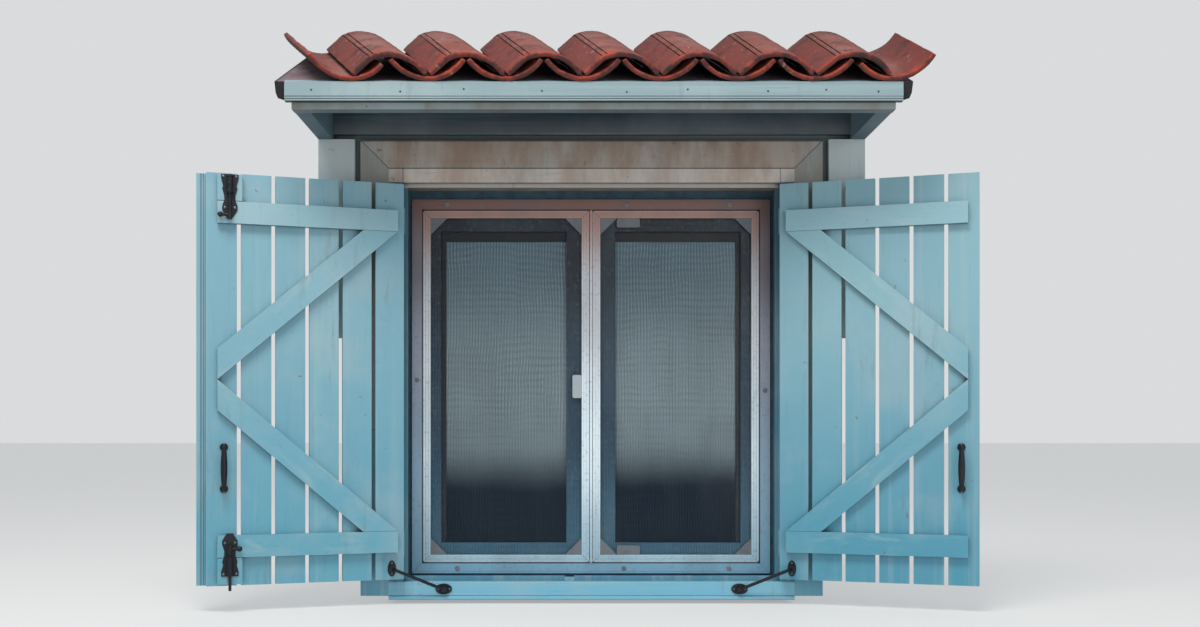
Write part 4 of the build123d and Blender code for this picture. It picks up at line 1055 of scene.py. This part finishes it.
def add_lamp(name, place, aim, size, energy, colour):
    """A soft rectangular lamp that looks at its aim."""
    data = bpy.data.lights.new(name, "AREA")
    data.shape = "RECTANGLE"
    data.size, data.size_y = size
    data.energy = energy
    data.color = colour
    obj = bpy.data.objects.new(name, data)
    bpy.context.scene.collection.objects.link(obj)
    obj.location = place
    obj.rotation_euler = (Vector(aim) - Vector(place)).to_track_quat("-Z", "Y").to_euler()


class SHUTTERS_OT_stage(bpy.types.Operator):
    """Sets the pale floor, the lamps and the camera"""

    bl_idname = "shutters.stage"
    bl_label = "Set stage"

    def execute(self, context):
        deselect()
        bpy.ops.mesh.primitive_plane_add(size=FLOOR_SIZE, location=(0, 0, CAD_BOX[0][2] - FLOOR_GAP))
        floor = context.object
        floor.name = "stage_floor"
        settle(floor)
        pale = bpy.data.materials.new("stage_pale")
        pale.use_nodes = True
        tree = pale.node_tree
        plain = tree.nodes["Principled BSDF"]
        plain.inputs["Base Color"].default_value = (0.86, 0.86, 0.85, 1)
        plain.inputs["Roughness"].default_value = 0.9
        lit = tree.nodes.new("ShaderNodeEmission")
        lit.inputs["Color"].default_value = (0.80, 0.81, 0.81, 1)
        pale_to_view(tree, plain, lit, tree.nodes["Material Output"], 0.45)
        floor.data.materials.append(pale)

        world = bpy.data.worlds.new("soft_sky")
        context.scene.world = world
        world.use_nodes = True
        tree = world.node_tree
        sky = tree.nodes["Background"]
        sky.inputs["Color"].default_value = (0.90, 0.95, 1.0, 1)
        sky.inputs["Strength"].default_value = 0.50
        shown = tree.nodes.new("ShaderNodeBackground")
        shown.inputs["Color"].default_value = (0.70, 0.71, 0.72, 1)
        pale_to_view(tree, sky, shown, tree.nodes["World Output"], 1.0)

        for name, values in LAMPS.items():
            add_lamp(name, *values)

        data = bpy.data.cameras.new("view")
        data.lens = 35.0
        data.sensor_width = 36.0
        data.sensor_fit = "HORIZONTAL"
        data.shift_x, data.shift_y = CAMERA_SHIFT
        camera = bpy.data.objects.new("view", data)
        context.scene.collection.objects.link(camera)
        camera.location = CAMERA_PLACE
        camera.rotation_euler = (math.radians(90), 0, 0)
        context.scene.camera = camera
        context.scene.view_settings.view_transform = "Standard"
        return {"FINISHED"}


class SHUTTERS_PT_panel(bpy.types.Panel):
    """The shutters' settings and steps"""

    bl_idname = "SHUTTERS_PT_panel"
    bl_label = "Shutters"
    bl_space_type = "VIEW_3D"
    bl_region_type = "UI"
    bl_category = "Shutters"

    def draw(self, context):
        s = context.scene.shutter_settings
        for name in ShutterSettings.__annotations__:
            self.layout.prop(s, name)
        for step in STEPS:
            self.layout.operator(step.bl_idname)


STEPS = (
    SHUTTERS_OT_timber,
    SHUTTERS_OT_roof_tiles,
    SHUTTERS_OT_ironwork,
    SHUTTERS_OT_window,
    SHUTTERS_OT_stage,
)
CLASSES = (ShutterSettings,) + STEPS + (SHUTTERS_PT_panel,)


def register():
    for cls in CLASSES:
        bpy.utils.register_class(cls)
    bpy.types.Scene.shutter_settings = PointerProperty(type=ShutterSettings)


def unregister():
    del bpy.types.Scene.shutter_settings
    for cls in reversed(CLASSES):
        bpy.utils.unregister_class(cls)


def main():
    register()
    bpy.ops.shutters.timber()
    bpy.ops.shutters.roof_tiles()
    bpy.ops.shutters.ironwork()
    bpy.ops.shutters.window()
    bpy.ops.shutters.stage()
    deselect()


if __name__ == "__main__":
    main()
